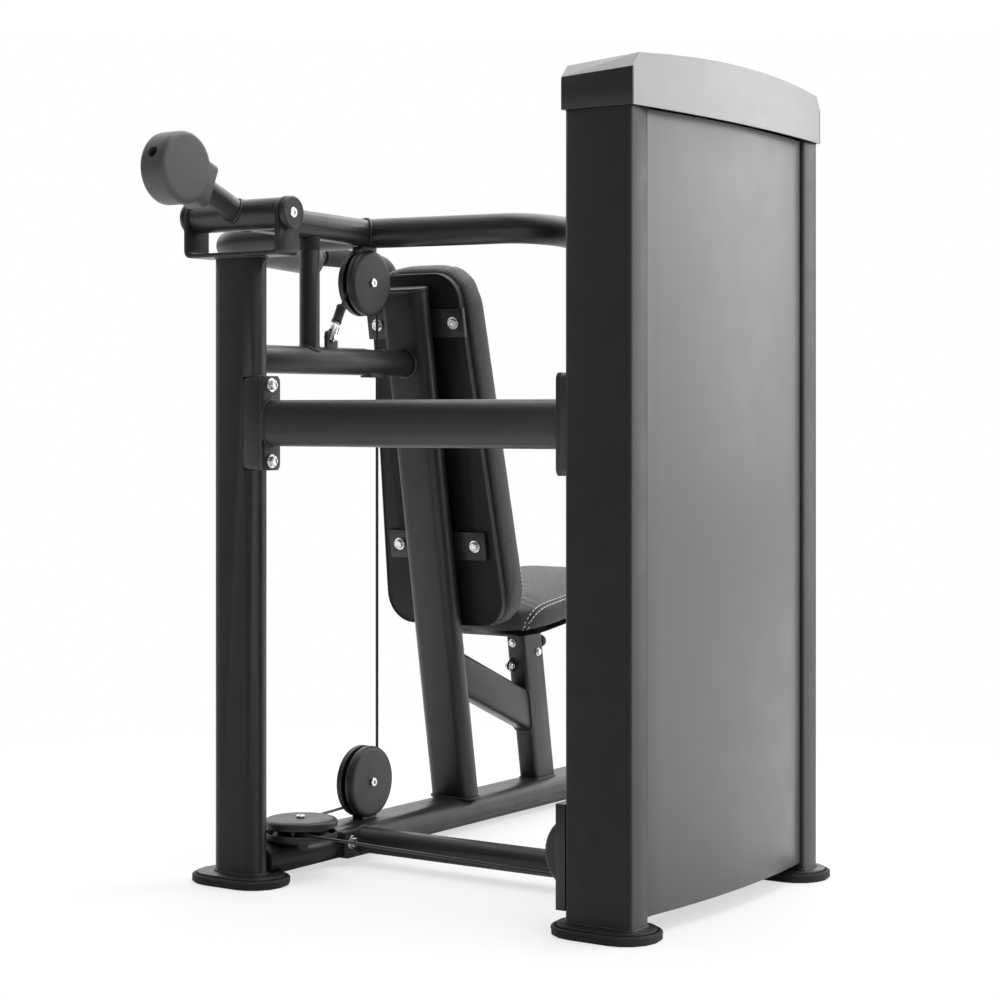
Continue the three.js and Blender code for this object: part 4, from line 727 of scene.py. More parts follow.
class PRESS_OT_stage(Operator):
    """Camera, pale floor, lamps and white surroundings"""

    bl_idname = "press.stage"
    bl_label = "Stage"

    def execute(self, context):
        settings = context.scene.press_stage
        choose(None)
        bpy.ops.object.camera_add(location=CAMERA_PLACE, rotation=(math.pi / 2, 0, CAMERA_TURN))
        camera = context.object
        camera.name = "camera"
        camera.data.lens = 83.65
        camera.data.sensor_width = 36
        camera.data.shift_y = -0.0873
        context.scene.camera = camera
        context.scene.view_settings.view_transform = "Standard"
        self.floor(settings)
        self.surroundings(context.scene, settings)
        self.lamp("key_lamp", (3.0, 4.4, 2.0), (0.3, 0.1, 0.8), (2.2, 2.6), settings.key_power)
        self.lamp("side_lamp", (4.8, 0.9, 2.2), (0.1, -0.1, 0.9), (2.6, 3.0), settings.side_power)
        self.lamp("top_lamp", (0.3, 1.2, 4.2), (0.1, 0.1, 0.6), (3.4, 3.0), settings.top_power)
        return {"FINISHED"}

    def floor(self, settings):
        """A pale floor that fades to white for the camera away from the machine."""
        bpy.ops.mesh.primitive_plane_add(size=60, location=(0, 0, 0))
        floor = bpy.context.object
        floor.name = "floor"
        material, surface, place = begin("pale_floor", 0.85, 0.0, 0.2)
        surface.inputs["Base Color"].default_value = (*settings.floor_colour, 1)
        away = node(material, "ShaderNodeVectorMath", {0: place}, operation="LENGTH")
        far = ranged(material, away.outputs["Value"], 0.62, 1.0, 0.8, 2.0)
        seen = node(material, "ShaderNodeLightPath").outputs["Is Camera Ray"]
        share = figured(material, "MULTIPLY", far, seen)
        glow = node(material, "ShaderNodeEmission", {"Color": (1, 1, 1, 1), "Strength": 1.0})
        inputs = {0: share, 1: surface.outputs[0], 2: glow.outputs[0]}
        mix = node(material, "ShaderNodeMixShader", inputs)
        output = material.node_tree.nodes["Material Output"]
        material.node_tree.links.new(mix.outputs[0], output.inputs["Surface"])
        floor.data.materials.append(material)

    def surroundings(self, scene, settings):
        """White to the camera; to the machine, a soft sky beyond it and a bright right side."""
        world = bpy.data.worlds.new("surroundings")
        world.use_nodes = True
        scene.world = world
        back = world.node_tree.nodes["Background"]
        back.inputs["Color"].default_value = (1, 1, 1, 1)
        way = node(world, "ShaderNodeTexCoord").outputs["Generated"]
        aside = node(world, "ShaderNodeVectorMath", {0: way, 1: SIDE_WAY}, operation="DOT_PRODUCT")
        side = ranged(world, aside.outputs["Value"], 0.0, settings.side_level, 0.2, 0.95)
        split = node(world, "ShaderNodeSeparateXYZ", {"Vector": way}).outputs
        above = ranged(world, split["Z"], settings.dark_level, settings.sky_level, 0.0, 0.35)
        beyond = ranged(world, split["Y"], 0.12, 1.0, -0.55, 0.35)
        level = figured(world, "MAXIMUM", figured(world, "MULTIPLY", above, beyond), side)
        path = node(world, "ShaderNodeLightPath").outputs
        seen = figured(world, "MAXIMUM", path["Is Camera Ray"], path["Is Transmission Ray"])
        shown = figured(world, "MAXIMUM", level, seen)
        world.node_tree.links.new(shown, back.inputs["Strength"])

    def lamp(self, name, place, aim, size, power):
        turn = (Vector(aim) - Vector(place)).to_track_quat("-Z", "Y").to_euler()
        bpy.ops.object.light_add(type="AREA", location=place, rotation=turn)
        lamp = bpy.context.object
        lamp.name = name
        lamp.data.shape = "RECTANGLE"
        lamp.data.size, lamp.data.size_y = size
        lamp.data.energy = power


# Bolts: the point under each washer and the way out; SEAT_SOLID is where the solid has its own
REARWARD = way_of(SEAT, 0, -1, 0)
LUG_SHIFT = (-11.5, 0, -10)
UPPER_BOLTS = [
    (at(x, 0, UPPER_HIGH + side * 71.5), X_WAY * out) for x, out in UPPER_FLANGES for side in SIDES
]
BASE_BOLTS = [
    (at(x, BASE_PLACE + side * 38, BASE_HIGH), X_WAY * out)
    for x, out in BASE_FLANGES for side in SIDES
]
PAD_BOLTS = [(on(UPRIGHT, side * 98, 24, z), REARWARD) for z in (1020, 546) for side in SIDES]
SEAT_SOLID = [(on(SEAT, 25, 14, 293), X_WAY), (on(SEAT, 4, -38, 318), REARWARD)]
SEAT_BOLTS = [(on(SEAT, 25, 12, 289), X_WAY), (on(SEAT, -7, -38, 320), REARWARD)]
LUG_BOLTS = [(on(SEAT, LUG_SHIFT[0] + side * 3, -50, 270), X_WAY * side) for side in SIDES]
BOLT_WIDE = 14
SMALL_BOLT = 0.7


def stripped(bolts):
    return [(point, way, BOLT_WIDE * MM) for point, way in bolts]


class PRESS_OT_frame_tubes(Operator):
    """Painted tubes, beams, flanges and posts of the frame"""

    bl_idname = "press.frame_tubes"
    bl_label = "Frame tubes"

    def execute(self, context):
        for source in (
            "pivot_yoke", "main_beam", "strut", "seat_brace",
            "tower_rear_post", "tower_front_post", "tower_base_beam", "tower_head_beam",
        ):
            dress(source)
        dress("rear_column", shift=self.narrow_flanges)
        dress("upper_cross_beam", strip=stripped(UPPER_BOLTS), shift=self.narrow_flanges)
        dress("base_cross_tube", strip=stripped(BASE_BOLTS))
        dress("seat_post", strip=stripped(SEAT_SOLID), shift=self.shift_lug)
        dress("back_board", paint="board", strip=stripped(PAD_BOLTS), shift=self.lengthen_board)
        self.board_piping()
        cut = on(UPRIGHT, 0, 0, UPRIGHT_TOP - CAP_HIGH)
        dress("back_upright", trim=(cut, way_of(UPRIGHT, 0, 0, 1)))
        self.upright_cap()
        return {"FINISHED"}

    def lengthen_board(self, board):
        lengthen(board, BACK, BOARD_LONGER, BACK_OUTLINE["rear"] + BACK_OUTLINE["corner"])
        round_corners(board, BACK, 9)

    def board_piping(self):
        """Piping on the back of the board, a little inside its edge."""
        inset, spacing, high, radius = 15.6, 6.0, 32.8, 2.0
        line = [on(BACK, *point, high) for point, _ in outline(BACK_OUTLINE, inset, spacing)]
        low = BACK_OUTLINE["rear"] + BACK_OUTLINE["corner"]
        down = way_of(BACK, 0, -1, 0) * BOARD_LONGER * MM
        away = BACK.inverted()
        line = [point + down if (away @ point).y < low * MM else point for point in line]
        done(wire("board_piping", line, radius * MM), "frame", "plastic", smooth=60)

    def narrow_flanges(self, piece):
        """Brings the flanges of the upper cross beam to the width of its tube."""
        edit(piece)

        def on_flange(co):
            place = (co - COLUMN) / MM
            on_beam = 64.6 < place.x < 74.5 or 726.5 < place.x < 736.3
            on_column = 27.4 < place.x < 64.6 and 760 < place.z < 980 and abs(place.y) > 26.9
            return abs(place.y) > 26.5 and (on_column or on_beam)

        pick(piece, on_flange)
        bpy.ops.transform.resize(value=(1, FLANGE_SHARE, 1), center_override=at(0, 0, 0))
        choose(piece)

    def shift_lug(self, post):
        """Moves the lug of the seat post towards the left wall, where the real one is welded."""
        away = SEAT.inverted()
        edit(post)

        def on_lug(co):
            place = (away @ co) / MM
            return place.y < -37.9 and abs(place.x) < 3.2 and 258 < place.z < 302

        pick(post, on_lug)
        bpy.ops.transform.translate(value=SEAT.to_3x3() @ (Vector(LUG_SHIFT) * MM))
        choose(post)

    def upright_cap(self):
        """The pressed-in cap that closes the upright, parted from it by a fine groove."""
        low = UPRIGHT_TOP - CAP_HIGH
        high = UPRIGHT_TOP
        profile = [[2, low - 8], [2, low + 0.9], [0.4, low + 0.9], [0, low + 1.6], [0, high - 4]]
        profile += [[1.1, high - 1.2], [3.6, high], [10, high]]
        cap = drawn("upright_cap", UPRIGHT, *MAIN_TUBE, profile, 10)
        done(cap, "frame", "plastic", smooth=40)


class PRESS_OT_small_parts(Operator):
    """Feet, bumper, rods, weights, sheaves, arm tubes, cable runs, and the panel and covers of the
    tower
    """

    bl_idname = "press.small_parts"
    bl_label = "Small parts"

    def execute(self, context):
        for source in (
            "rubber_foot_column", "rubber_foot_front",
            "rubber_foot_tower_rear", "rubber_foot_tower_front",
            "stop_bumper", "guide_rod_rear", "guide_rod_front", "stack_cushion",
            "resting_weight_plates", "lifted_weight_plates", "selector_stem", "selector_pin",
            "outer_panel", "inner_cover", "cap_hood", "cap_liner",
            "press_pivot_tube", "press_neck_tube",
            "top_sheave", "base_upright_sheave", "base_flat_sheave", "tower_lower_sheave",
            "tower_rear_head_sheave", "tower_front_head_sheave",
            "cable_top_wrap", "cable_base_run",
        ):
            # The cap's bowed top is smooth, and its sloped ends meet it in a crease
            dress(source, SMALL_EDGE * MM, 3.4 if source == "cap_hood" else 34)
        feet = ((0, 0), (0, BEAM_FRONT), (TOWER, 0), (TOWER, TOWER_FRONT))
        rims = [self.foot_rim(at(x, y, 12)) for x, y in feet]
        done(join(rims, "foot_rims"), "frame", "rubber", smooth=60)
        return {"FINISHED"}

    def foot_rim(self, middle):
        """The rolled rim of a rubber foot round its steel plate."""
        wide, deep, corner, radius = 191, 121, 57.5, 4.6
        line = rounded_line(wide, deep, corner, spacing=4)
        return wire("rim", [middle + point * MM for point in line], radius * MM, sides=3)


PIVOT = at(0, 0, 1266)
COUNTER_TILT = math.radians(22)
COUNTER_AWAY = 198
COUNTER_WAY = Vector((0, -math.cos(COUNTER_TILT), math.sin(COUNTER_TILT)))


class PRESS_OT_counterweight(Operator):
    """Cast counterweight with its rounded rim, collar and drilled hole"""

    bl_idname = "press.counterweight"
    bl_label = "Counterweight"

    def execute(self, context):
        centre = PIVOT + COUNTER_WAY * COUNTER_AWAY * MM
        half = [(67, 0), (67, 20), (66.2, 24.2), (63.8, 27.8), (60.4, 29.6), (57, 30), (52, 30.3)]
        half.append((0.5, 30.3))
        profile = [(radius, -away) for radius, away in reversed(half)] + half[1:]
        weight = turned("counterweight_finished", centre, X_WAY, profile, 96)
        away = facing(PIVOT, COUNTER_WAY, X_WAY)
        profile = [[9, 118], [2.2, 118], [0.4, 119.5], [0, 121.5], [0, 170], [9, 170]]
        collar = drawn("collar", away, 58, 88, 14, profile)
        combine(weight, collar, "UNION")
        hole = turned("hole", PIVOT, COUNTER_WAY, [(10.5, 235), (10.5, 275)], 40)
        combine(weight, hole, "DIFFERENCE")
        done(weight, "press_arm", "iron", ("counterweight",), smooth=38)
        return {"FINISHED"}


class PRESS_OT_pivot_ends(Operator):
    """Round caps of the pivot with their bright socket screws"""

    bl_idname = "press.pivot_ends"
    bl_label = "Pivot ends"

    def execute(self, context):
        profile = [(12.8, 0), (28.6, 0), (29.4, 0.8), (29.4, 3.2), (31, 3.6), (31, 9.6)]
        profile += [(30.2, 11.6), (28.2, 12.8), (26.6, 13), (25.8, 12.4), (10.5, 12.4)]
        profile += [(10.5, 9), (12.8, 6.4), (12.8, 0)]
        inner, half, thick = 116.3, 122, 12.5
        for side, source in ((1, "pivot_cap_right"), (-1, "pivot_cap_left")):
            way = X_WAY * side
            foot = PIVOT + way * inner * MM
            cap = turned(source + "_finished", foot, way, profile, 72)
            done(cap, "frame", "plastic", (source,), smooth=32)
        profile = [(thick, -half), (thick, half)]
        shaft = turned("pivot_shaft_finished", PIVOT, X_WAY, profile, 40)
        heads = [
            socket_screw("screw", PIVOT + X_WAY * side * half * MM, X_WAY * side, 9.8, 8.2)
            for side in SIDES
        ]
        whole = join([shaft, *heads], "pivot_shaft_finished")
        done(whole, "frame", "zinc", ("pivot_shaft",), smooth=30)
        return {"FINISHED"}


# Cover, body, centre, axis, way to the strap, radius of the discs, whether a strap holds both sides
PULLEYS = (
    ("top_pulley_cover", "press_arm", at(0, PULLEY_PLACE, 1155), X_WAY, Z_WAY, 67, True),
    ("base_pulley_cover", "frame", at(0, PULLEY_PLACE, 142), X_WAY, -Z_WAY, 72, True),
    ("flat_pulley_cover", "frame", at(50, 118, 90), Z_WAY, Y_WAY, 71, False),
    ("tower_pulley_cover", "frame", at(722, 68, 121), Y_WAY, X_WAY, 68, False),
)
DISC_INNER = 14.3
DISC_OUTER = 21


class PRESS_OT_pulley_covers(Operator):
    """Moulded cover discs of the pulleys with their bright centre screws"""

    bl_idname = "press.pulley_covers"
    bl_label = "Pulley covers"

    def execute(self, context):
        for source, body, centre, way, hang, radius, strapped in PULLEYS:
            discs = [self.disc(centre, way * side, radius) for side in SIDES]
            pair = join(discs, source + "_finished")
            if strapped:
                room = block("strap_room", (radius - 8, 48, 2 * DISC_INNER))
                room.data.transform(facing(centre + hang * (radius + 9) / 2 * MM, way, hang))
                combine(pair, room, "DIFFERENCE")
            keepers = [self.keeper(centre, way, hang, angle, radius) for angle in (150, 205)]
            pair = join([pair, *keepers], source + "_finished")
            done(pair, body, "plastic", (source,), smooth=36)
            self.screws(source, body, centre, way, strapped)
        return {"FINISHED"}

    def disc(self, centre, way, radius):
        """One cover disc with its skirt; a pair is (how far inside the radius, distance)."""
        skirt = [(4, DISC_INNER), (4, 4.8), (0.8, 4.8), (0, 5.6), (0, 10.8), (0.7, 11.3)]
        skirt += [(0.7, 12.1), (0, 12.6), (0, 14.2), (1.4, 17), (4.4, 19.2), (8.6, 20.6)]
        skirt.append((13, DISC_OUTER))
        hole = [(3, DISC_OUTER), (3, DISC_INNER)]
        rim = [(radius - less, away) for less, away in skirt]
        return turned("disc", centre, way, [hole[1], *rim, *hole], 96)

    def keeper(self, centre, way, hang, angle, radius):
        """A pin between both discs that keeps the cable in its groove."""
        turn = math.radians(angle)
        out = hang * math.cos(turn) + way.cross(hang) * math.sin(turn)
        foot = centre + out * (radius - 9) * MM
        return turned("keeper", foot, way, [(3.5, -14.5), (3.5, 14.5)], 20)

    def screws(self, source, body, centre, way, both):
        """The axle with a socket screw at one end or at both."""
        pieces = [turned("axle", centre, way, [(6, -DISC_OUTER), (6, DISC_OUTER)], 32)]
        for out in (way, -way) if both else (way,):
            pieces.append(socket_screw("screw", centre + out * (DISC_OUTER - 0.1) * MM, out, 9, 5))
        done(join(pieces, source + "_screws"), body, "zinc", smooth=30)


class PRESS_OT_cable_fitting(Operator):
    """Bright clevis and black sleeve that hold the cable's end on its lug"""

    bl_idname = "press.cable_fitting"
    bl_label = "Cable fitting"

    def execute(self, context):
        way = (END_HIGH - CABLE_LUG).normalized()
        profile = [(6, -10), (8.6, -9), (10, -6), (10, 24), (8.6, 28), (7, 30), (7, 38)]
        clevis = turned("cable_end_fitting_finished", CABLE_LUG, way, profile, 40)
        room = block("lug_room", (8.8, 30, 29))
        room.data.transform(facing(CABLE_LUG, way, X_WAY))
        combine(clevis, room, "DIFFERENCE")
        profile = [(6.6, -13), (6.6, -10.2), (4.5, -10), (4.5, 11), (6.2, 11.2), (6.2, 13)]
        pin = turned("pin", CABLE_LUG, X_WAY, profile, 28)
        whole = join([clevis, pin], "cable_end_fitting_finished")
        done(whole, "frame", "zinc", ("cable_end_fitting",), smooth=36)
        profile = [(5, 34), (9.8, 34), (10.4, 35), (10.4, 39), (9.6, 40), (9.6, 66)]
        profile += [(10.2, 67), (10.2, 71), (8.8, 73), (3.4, 74)]
        sleeve = turned("cable_sleeve", CABLE_LUG, way, profile, 40)
        done(sleeve, "frame", "plastic", smooth=36)
        return {"FINISHED"}


class PRESS_OT_seat_collar(Operator):
    """Ribbed black collar at the top of the seat post"""

    bl_idname = "press.seat_collar"
    bl_label = "Seat collar"

    def execute(self, context):
        post_top = 340.3
        place = SEAT @ Matrix.Translation((0, 0, post_top * MM))
        profile = [[8.6, 0.4], [0.6, 0], [0, 0.8], [0, 2.6], [1.4, 3.2], [1.4, 4.4], [0, 5.0]]
        profile += [[0, 6.8], [1.4, 7.4], [1.4, 8.6], [0, 9.2], [0, 10.6], [1.2, 12]]
        profile += [[8.6, 12], [8.6, 0.4]]
        collar = drawn("seat_post_collar_finished", place, 56, 82, 12, profile)
        done(collar, "frame", "plastic", ("seat_post_collar",), smooth=38)
        return {"FINISHED"}


class PRESS_OT_seat_slide(Operator):
    """Bright slide tube with the black plate that carries the seat"""

    bl_idname = "press.seat_slide"
    bl_label = "Seat slide"

    def execute(self, context):
        plate_low = 371.7
        tube = node_copy("seat_carrier", "seat_carrier_finished")
        cut_above(tube, on(SEAT, 0, 0, plate_low), way_of(SEAT, 0, 0, 1))
        round_edges(tube, SMALL_EDGE * MM)
        done(tube, "seat", "steel", ("seat_carrier",))
        place = SEAT @ Matrix.Translation((0, 20 * MM, plate_low * MM))
        profile = [[14, 0], [1.2, 0], [0, 1.2], [0, 10.8], [1.2, 12], [14, 12]]
        done(drawn("seat_plate", place, 200, 260, 30, profile), "seat", "plastic")
        return {"FINISHED"}


class PRESS_OT_seat_lock(Operator):
    """Spring pin with its ribbed knob"""

    bl_idname = "press.seat_lock"
    bl_label = "Seat lock"

    def execute(self, context):
        start = on(SEAT, 0, 0, 300)
        way = way_of(SEAT, 0, 1, 0)
        pin = turned("seat_lock_pin", start, way, [(3.6, 24.5), (5, 26), (5, 54)], 24)
        done(pin, "seat_lock", "zinc", smooth=30)
        profile = [(4, 52), (8, 52), (8.6, 53), (8.6, 56), (12.6, 57.4), (13.6, 59), (13.6, 61)]
        profile += [(12.9, 61.6), (12.9, 62.6), (13.6, 63.2), (13.6, 66), (12.4, 68.6)]
        profile += [(9.6, 70.4), (5, 71), (0.4, 71)]
        knob = turned("seat_lock_knob_finished", start, way, profile, 48)
        done(knob, "seat_lock", "plastic", ("seat_lock_knob",), smooth=36)
        return {"FINISHED"}


class PRESS_OT_welds(Operator):
    """Weld beads where tubes meet"""

    bl_idname = "press.welds"
    bl_label = "Weld beads"

    def execute(self, context):
        turn = Matrix.Translation((0, -26 * MM, 944.7 * MM)) @ Matrix.Rotation(math.pi / 2, 4, "X")
        frame_beads = [
            self.bead(facing(at(0, 26.3, 995), Y_WAY, X_WAY), 56, 56, 28, 3.4),
            self.bead(UPRIGHT @ turn, 58, 59, 29, 4.4),
            self.bead(facing(at(0, 207, 1022.5), Z_WAY, Y_WAY), 41, 41, 20.5, 3.2, 27.5),
            self.standing_bead(0, 0, 1186.5, *MAIN_TUBE, 2.6),
            self.standing_bead(0, 0, FOOT_PLATE, *MAIN_TUBE, 3.6),
            self.standing_bead(0, UPRIGHT_PLACE, BEAM_TOP, 110, 52.8, 26.4, 3.4),
            self.standing_bead(0, SEAT_PLACE, BEAM_TOP, 50, 77, 10, 3.4),
            self.brace_bead(UPRIGHT, 26),
            self.brace_bead(SEAT, -38),
            self.standing_bead(TOWER, 0, FOOT_PLATE, *TOWER_POST, 3.4),
            self.standing_bead(TOWER, TOWER_FRONT, FOOT_PLATE, *TOWER_POST, 3.4),
        ]
        for x, out in UPPER_FLANGES:
            place = facing(at(x, 0, UPPER_HIGH), X_WAY * out, Z_WAY)
            frame_beads.append(self.bead(place, 87, 50, 25, 3.0))
        for x, out in BASE_FLANGES:
            place = facing(at(x, BASE_PLACE, BASE_HIGH), X_WAY * out, Z_WAY)
            frame_beads.append(self.bead(place, 52, 52, 26, 3.0))
        done(join(frame_beads, "frame_weld_beads"), "frame", "frame_paint", smooth=50)
        bow = at(*BOW[2])
        neck = (bow - PIVOT).normalized()
        arm_beads = [
            self.saddle_bead(PIVOT, COUNTER_WAY, 46, 3.6),
            self.saddle_bead(PIVOT, neck, 57, 3.4),
            self.saddle_bead(bow, -neck, 57, 3.4),
        ]
        for side in SIDES:
            place = facing(at(side * BOW_HALF, 745, 1246), Y_WAY, X_WAY)
            arm_beads.append(self.bead(place, 32, 32, 16, 2.4))
        done(join(arm_beads, "arm_weld_beads"), "press_arm", "frame_paint", smooth=50)
        return {"FINISHED"}

    def standing_bead(self, x, y, z, wide, deep, corner, radius):
        """The bead at the foot of what stands on a level face."""
        return self.bead(facing(at(x, y, z), Z_WAY, X_WAY), wide, deep, corner, radius)

    def saddle_bead(self, middle, way, wide, radius):
        """The bead round a tube that leaves a round tube of the arm."""
        place = facing(middle + way * ARM_RADIUS * MM, way, X_WAY)
        return self.bead(place, wide, wide, wide / 2, radius, ARM_RADIUS)

    def bead(self, place, wide, deep, corner, radius, tube=None):
        """A rippled bead round a section; tube is the radius of a tube along X that it sits on."""
        line = rounded_line(wide, deep, corner, spacing=1.3)
        points = []
        for point in line:
            sunk = tube - math.sqrt(tube ** 2 - min(abs(point.y), tube) ** 2) if tube else 0
            points.append(place @ (Vector((point.x, point.y, -sunk)) * MM))
        ripple, wave = 0.14, 4
        swells = [1 + ripple * math.sin(step * 2 * math.pi / wave) for step in range(len(points))]
        return wire("bead", points, radius * MM, swells)

    def brace_bead(self, post, face):
        """The bead round the brace where it meets a post's flat face."""
        rear, front = at(0, 746, 317.5), at(0, 930, 240.5)
        way = (front - rear).normalized()
        normal = way_of(post, 0, 1, 0)
        on_face = on(post, 0, face, 0)
        point = rear + way * ((on_face - rear).dot(normal) / way.dot(normal))
        wide, deep, corner = 50, 82, 14
        tall = deep / abs(way.dot(normal))
        return self.bead(facing(point, normal, X_WAY), wide, tall, corner, 3.6)


ARM_RADIUS = 30
BOW_HALF = 420
BOW = (
    (-BOW_HALF, 745, 1232.5),
    (-BOW_HALF, 400, 1252),
    (0, 400, 1257),
    (BOW_HALF, 400, 1252),
    (BOW_HALF, 745, 1232.5),
)
HANDLE_FRONT = 1045
HANDLE_HIGH = 1246.5
HANDLE_LOW = 1156.5


class PRESS_OT_press_bow(Operator):
    """The bow that passes round the head, with its handles"""

    bl_idname = "press.press_bow"
    bl_label = "Press bow"

    def execute(self, context):
        corners = [at(*point) for point in BOW]
        bends = [90 * MM, 900 * MM, 90 * MM]
        bow = bent_tube("press_bow_finished", corners, bends, ARM_RADIUS * MM)
        round_edges(bow, 2 * MM, 3, 60)
        handles = [self.handle(side) for side in (-1, 1)]
        size = (4, 44, 74)
        straps = [block("strap", size, at(side * 12, PULLEY_PLACE, 1192)) for side in (-1, 1)]
        whole = join([bow, *handles, *straps], "press_bow_finished")
        done(whole, "press_arm", "frame_paint", ("press_bow",))
        return {"FINISHED"}

    def handle(self, side):
        """A handle that runs forward, drops, and ends outwards."""
        x = side * BOW_HALF
        corners = [at(x, 735, HANDLE_HIGH), at(x, HANDLE_FRONT, HANDLE_HIGH)]
        corners += [at(x, HANDLE_FRONT, HANDLE_LOW), at(side * 545, HANDLE_FRONT, HANDLE_LOW)]
        tube = bent_tube("handle", corners, [60 * MM, 30 * MM], 16 * MM)
        round_edges(tube, 1.5 * MM, 2, 60)
        return tube


class PRESS_OT_cable(Operator):
    """The taut cable's three strands, each a straight tube pushed in steps"""

    bl_idname = "press.cable"
    bl_label = "Cable"

    def execute(self, context):
        # Each strand, its ends, the shares that bound its finely stepped middle run, and its runs'
        # steps
        for source, start, finish, bend, steps in (
            ("cable_end_strand", END_LOW, END_HIGH, (0.10, 0.55), (2, 40, 6)),
            ("cable_down_strand", DOWN_LOW, DOWN_HIGH, (948 / 1009, 996 / 1009), (20, 60, 2)),
        ):
            low, high = (start.lerp(finish, share) for share in bend)
            strand = self.strand(source, (start, low, high, finish), steps)
            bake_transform(strand)
        low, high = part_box("cable_stack_strand")
        middle = (low + high) / 2
        start, finish = Vector((middle.x, middle.y, high.z)), Vector((middle.x, middle.y, low.z))
        stack = self.strand("cable_stack_strand", (start, finish), (40,))
        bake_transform(stack)
        return {"FINISHED"}

    def strand(self, source, stops, counts):
        """A straight strand pushed from stop to stop, each run in its own number of steps."""
        start, finish = stops[0], stops[-1]
        radius = CABLE_RADIUS * MM
        way = (finish - start).normalized()
        piece = ring(source + "_finished", start, way, radius, 16)
        for here, there, count in zip(stops, stops[1:], counts):
            for _ in range(count):
                push((there - here) / count)
        close_ends(piece, [(start, way, radius), (finish, way, radius)])
        bpy.ops.object.shade_smooth_by_angle(angle=math.radians(40))
        piece.data.materials.append(materials["cable_jacket"])
        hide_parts(source)
        return piece


class PRESS_OT_hand_grips(Operator):
    """Rubber sleeves on both lengths of each handle"""

    bl_idname = "press.hand_grips"
    bl_label = "Hand grips"

    def execute(self, context):
        for side, source in ((-1, "left_hand_grip"), (1, "right_hand_grip")):
            along = self.sleeve(at(side * BOW_HALF, 772, HANDLE_HIGH), Y_WAY, 204)
            out = self.sleeve(at(side * 462, HANDLE_FRONT, HANDLE_LOW), X_WAY * side, 87)
            whole = join([along, out], source + "_finished")
            done(whole, "press_arm", "rubber", (source,))
        return {"FINISHED"}

    def sleeve(self, start, way, long):
        """A sleeve with rounded ends and shallow grooves between its ribs."""
        profile = [(17, 0), (19.5, 0), (21, 1.5), (21.5, 4)]
        rib = 8
        for place in range(rib, long - 12, rib):
            profile += [(21, place), (20.3, place + 1), (20.3, place + 2.6), (21, place + 3.6)]
        profile += [(21.5, long - 4), (21, long - 1.5), (19.5, long), (17, long)]
        return turned("sleeve", start, way, profile, 40)


# Pads; a pad's frame has its thickness along Z, and the rear of the back pad is its lower end
BACK = UPRIGHT @ Matrix.Rotation(-math.pi / 2, 4, "X") @ Matrix.Rotation(math.pi, 4, "Z")
BACK_OUTLINE = {"rear_half": 164, "front_half": 128, "rear": 1100 / 3, "front": 1138, "corner": 74}
SEAT_OUTLINE = {"rear_half": 150, "front_half": 176, "rear": -185, "front": 240, "corner": 84}
BOARD_LONGER = 10
PAD_LONGER = 6
PAD_HELD = 7
STITCH_ROWS = (-5, 5)
SEAM_SPACING = 4.0
CORNER_STEPS = 24
CLOSE = 0.01


def outline(sizes, inset, spacing):
    """Points and outward ways at equal steps along a pad's tapered outline, in mm."""
    slant = math.atan2(sizes["front_half"] - sizes["rear_half"], sizes["front"] - sizes["rear"])
    radius = sizes["corner"] - inset
    low, high = sizes["rear"] + sizes["corner"], sizes["front"] - sizes["corner"]
    rear, front = sizes["rear_half"] - sizes["corner"], sizes["front_half"] - sizes["corner"]
    quarter = math.pi / 2
    corners = [
        (front, high, -slant, quarter), (-front, high, quarter, math.pi + slant),
        (-rear, low, math.pi + slant, 3 * quarter), (rear, low, 3 * quarter, 4 * quarter - slant),
    ]
    points = []
    for x, y, start, end in corners:
        for step in range(CORNER_STEPS + 1):
            angle = start + (end - start) * step / CORNER_STEPS
            points.append(Vector((x + radius * math.cos(angle), y + radius * math.sin(angle))))
    spread = []
    for first, second in zip(points, points[1:] + points[:1]):
        long = (second - first).length
        if long < CLOSE:
            continue
        count = max(1, round(long / spacing))
        out = Vector((second.y - first.y, first.x - second.x)) / long
        spread += [(first.lerp(second, step / count), out) for step in range(count)]
    return spread


def lowest(source, place):
    """The lowest point of a CAD node along a frame's Z, in mm."""
    away = place.inverted()
    return min((away @ vertex.co).z / MM for vertex in NODES[source].data.vertices)


def tree_of(piece):
    shape = bmesh.new()
    shape.from_mesh(piece.data)
    tree = BVHTree.FromBMesh(shape)
    shape.free()
    return tree


def onto(piece, place, aims):
    """Where lines from outside, each given by a point and a way out of it, meet a pad."""
    tree = tree_of(piece)
    outside = 100 * MM
    points = []
    for point, out in aims:
        way = way_of(place, *out)
        hit, normal, _, _ = tree.ray_cast(on(place, *point) + way * outside, -way)
        if hit is None:
            raise RuntimeError("A seam missed its pad")
        points.append((hit, normal))
    return points


def edge_seam(sizes, height, inset):
    """Aims for a seam that runs all round a pad's upper edge."""
    line = outline(sizes, inset, SEAM_SPACING)
    return [((*point, height), (out.x, out.y, 0.9)) for point, out in line]


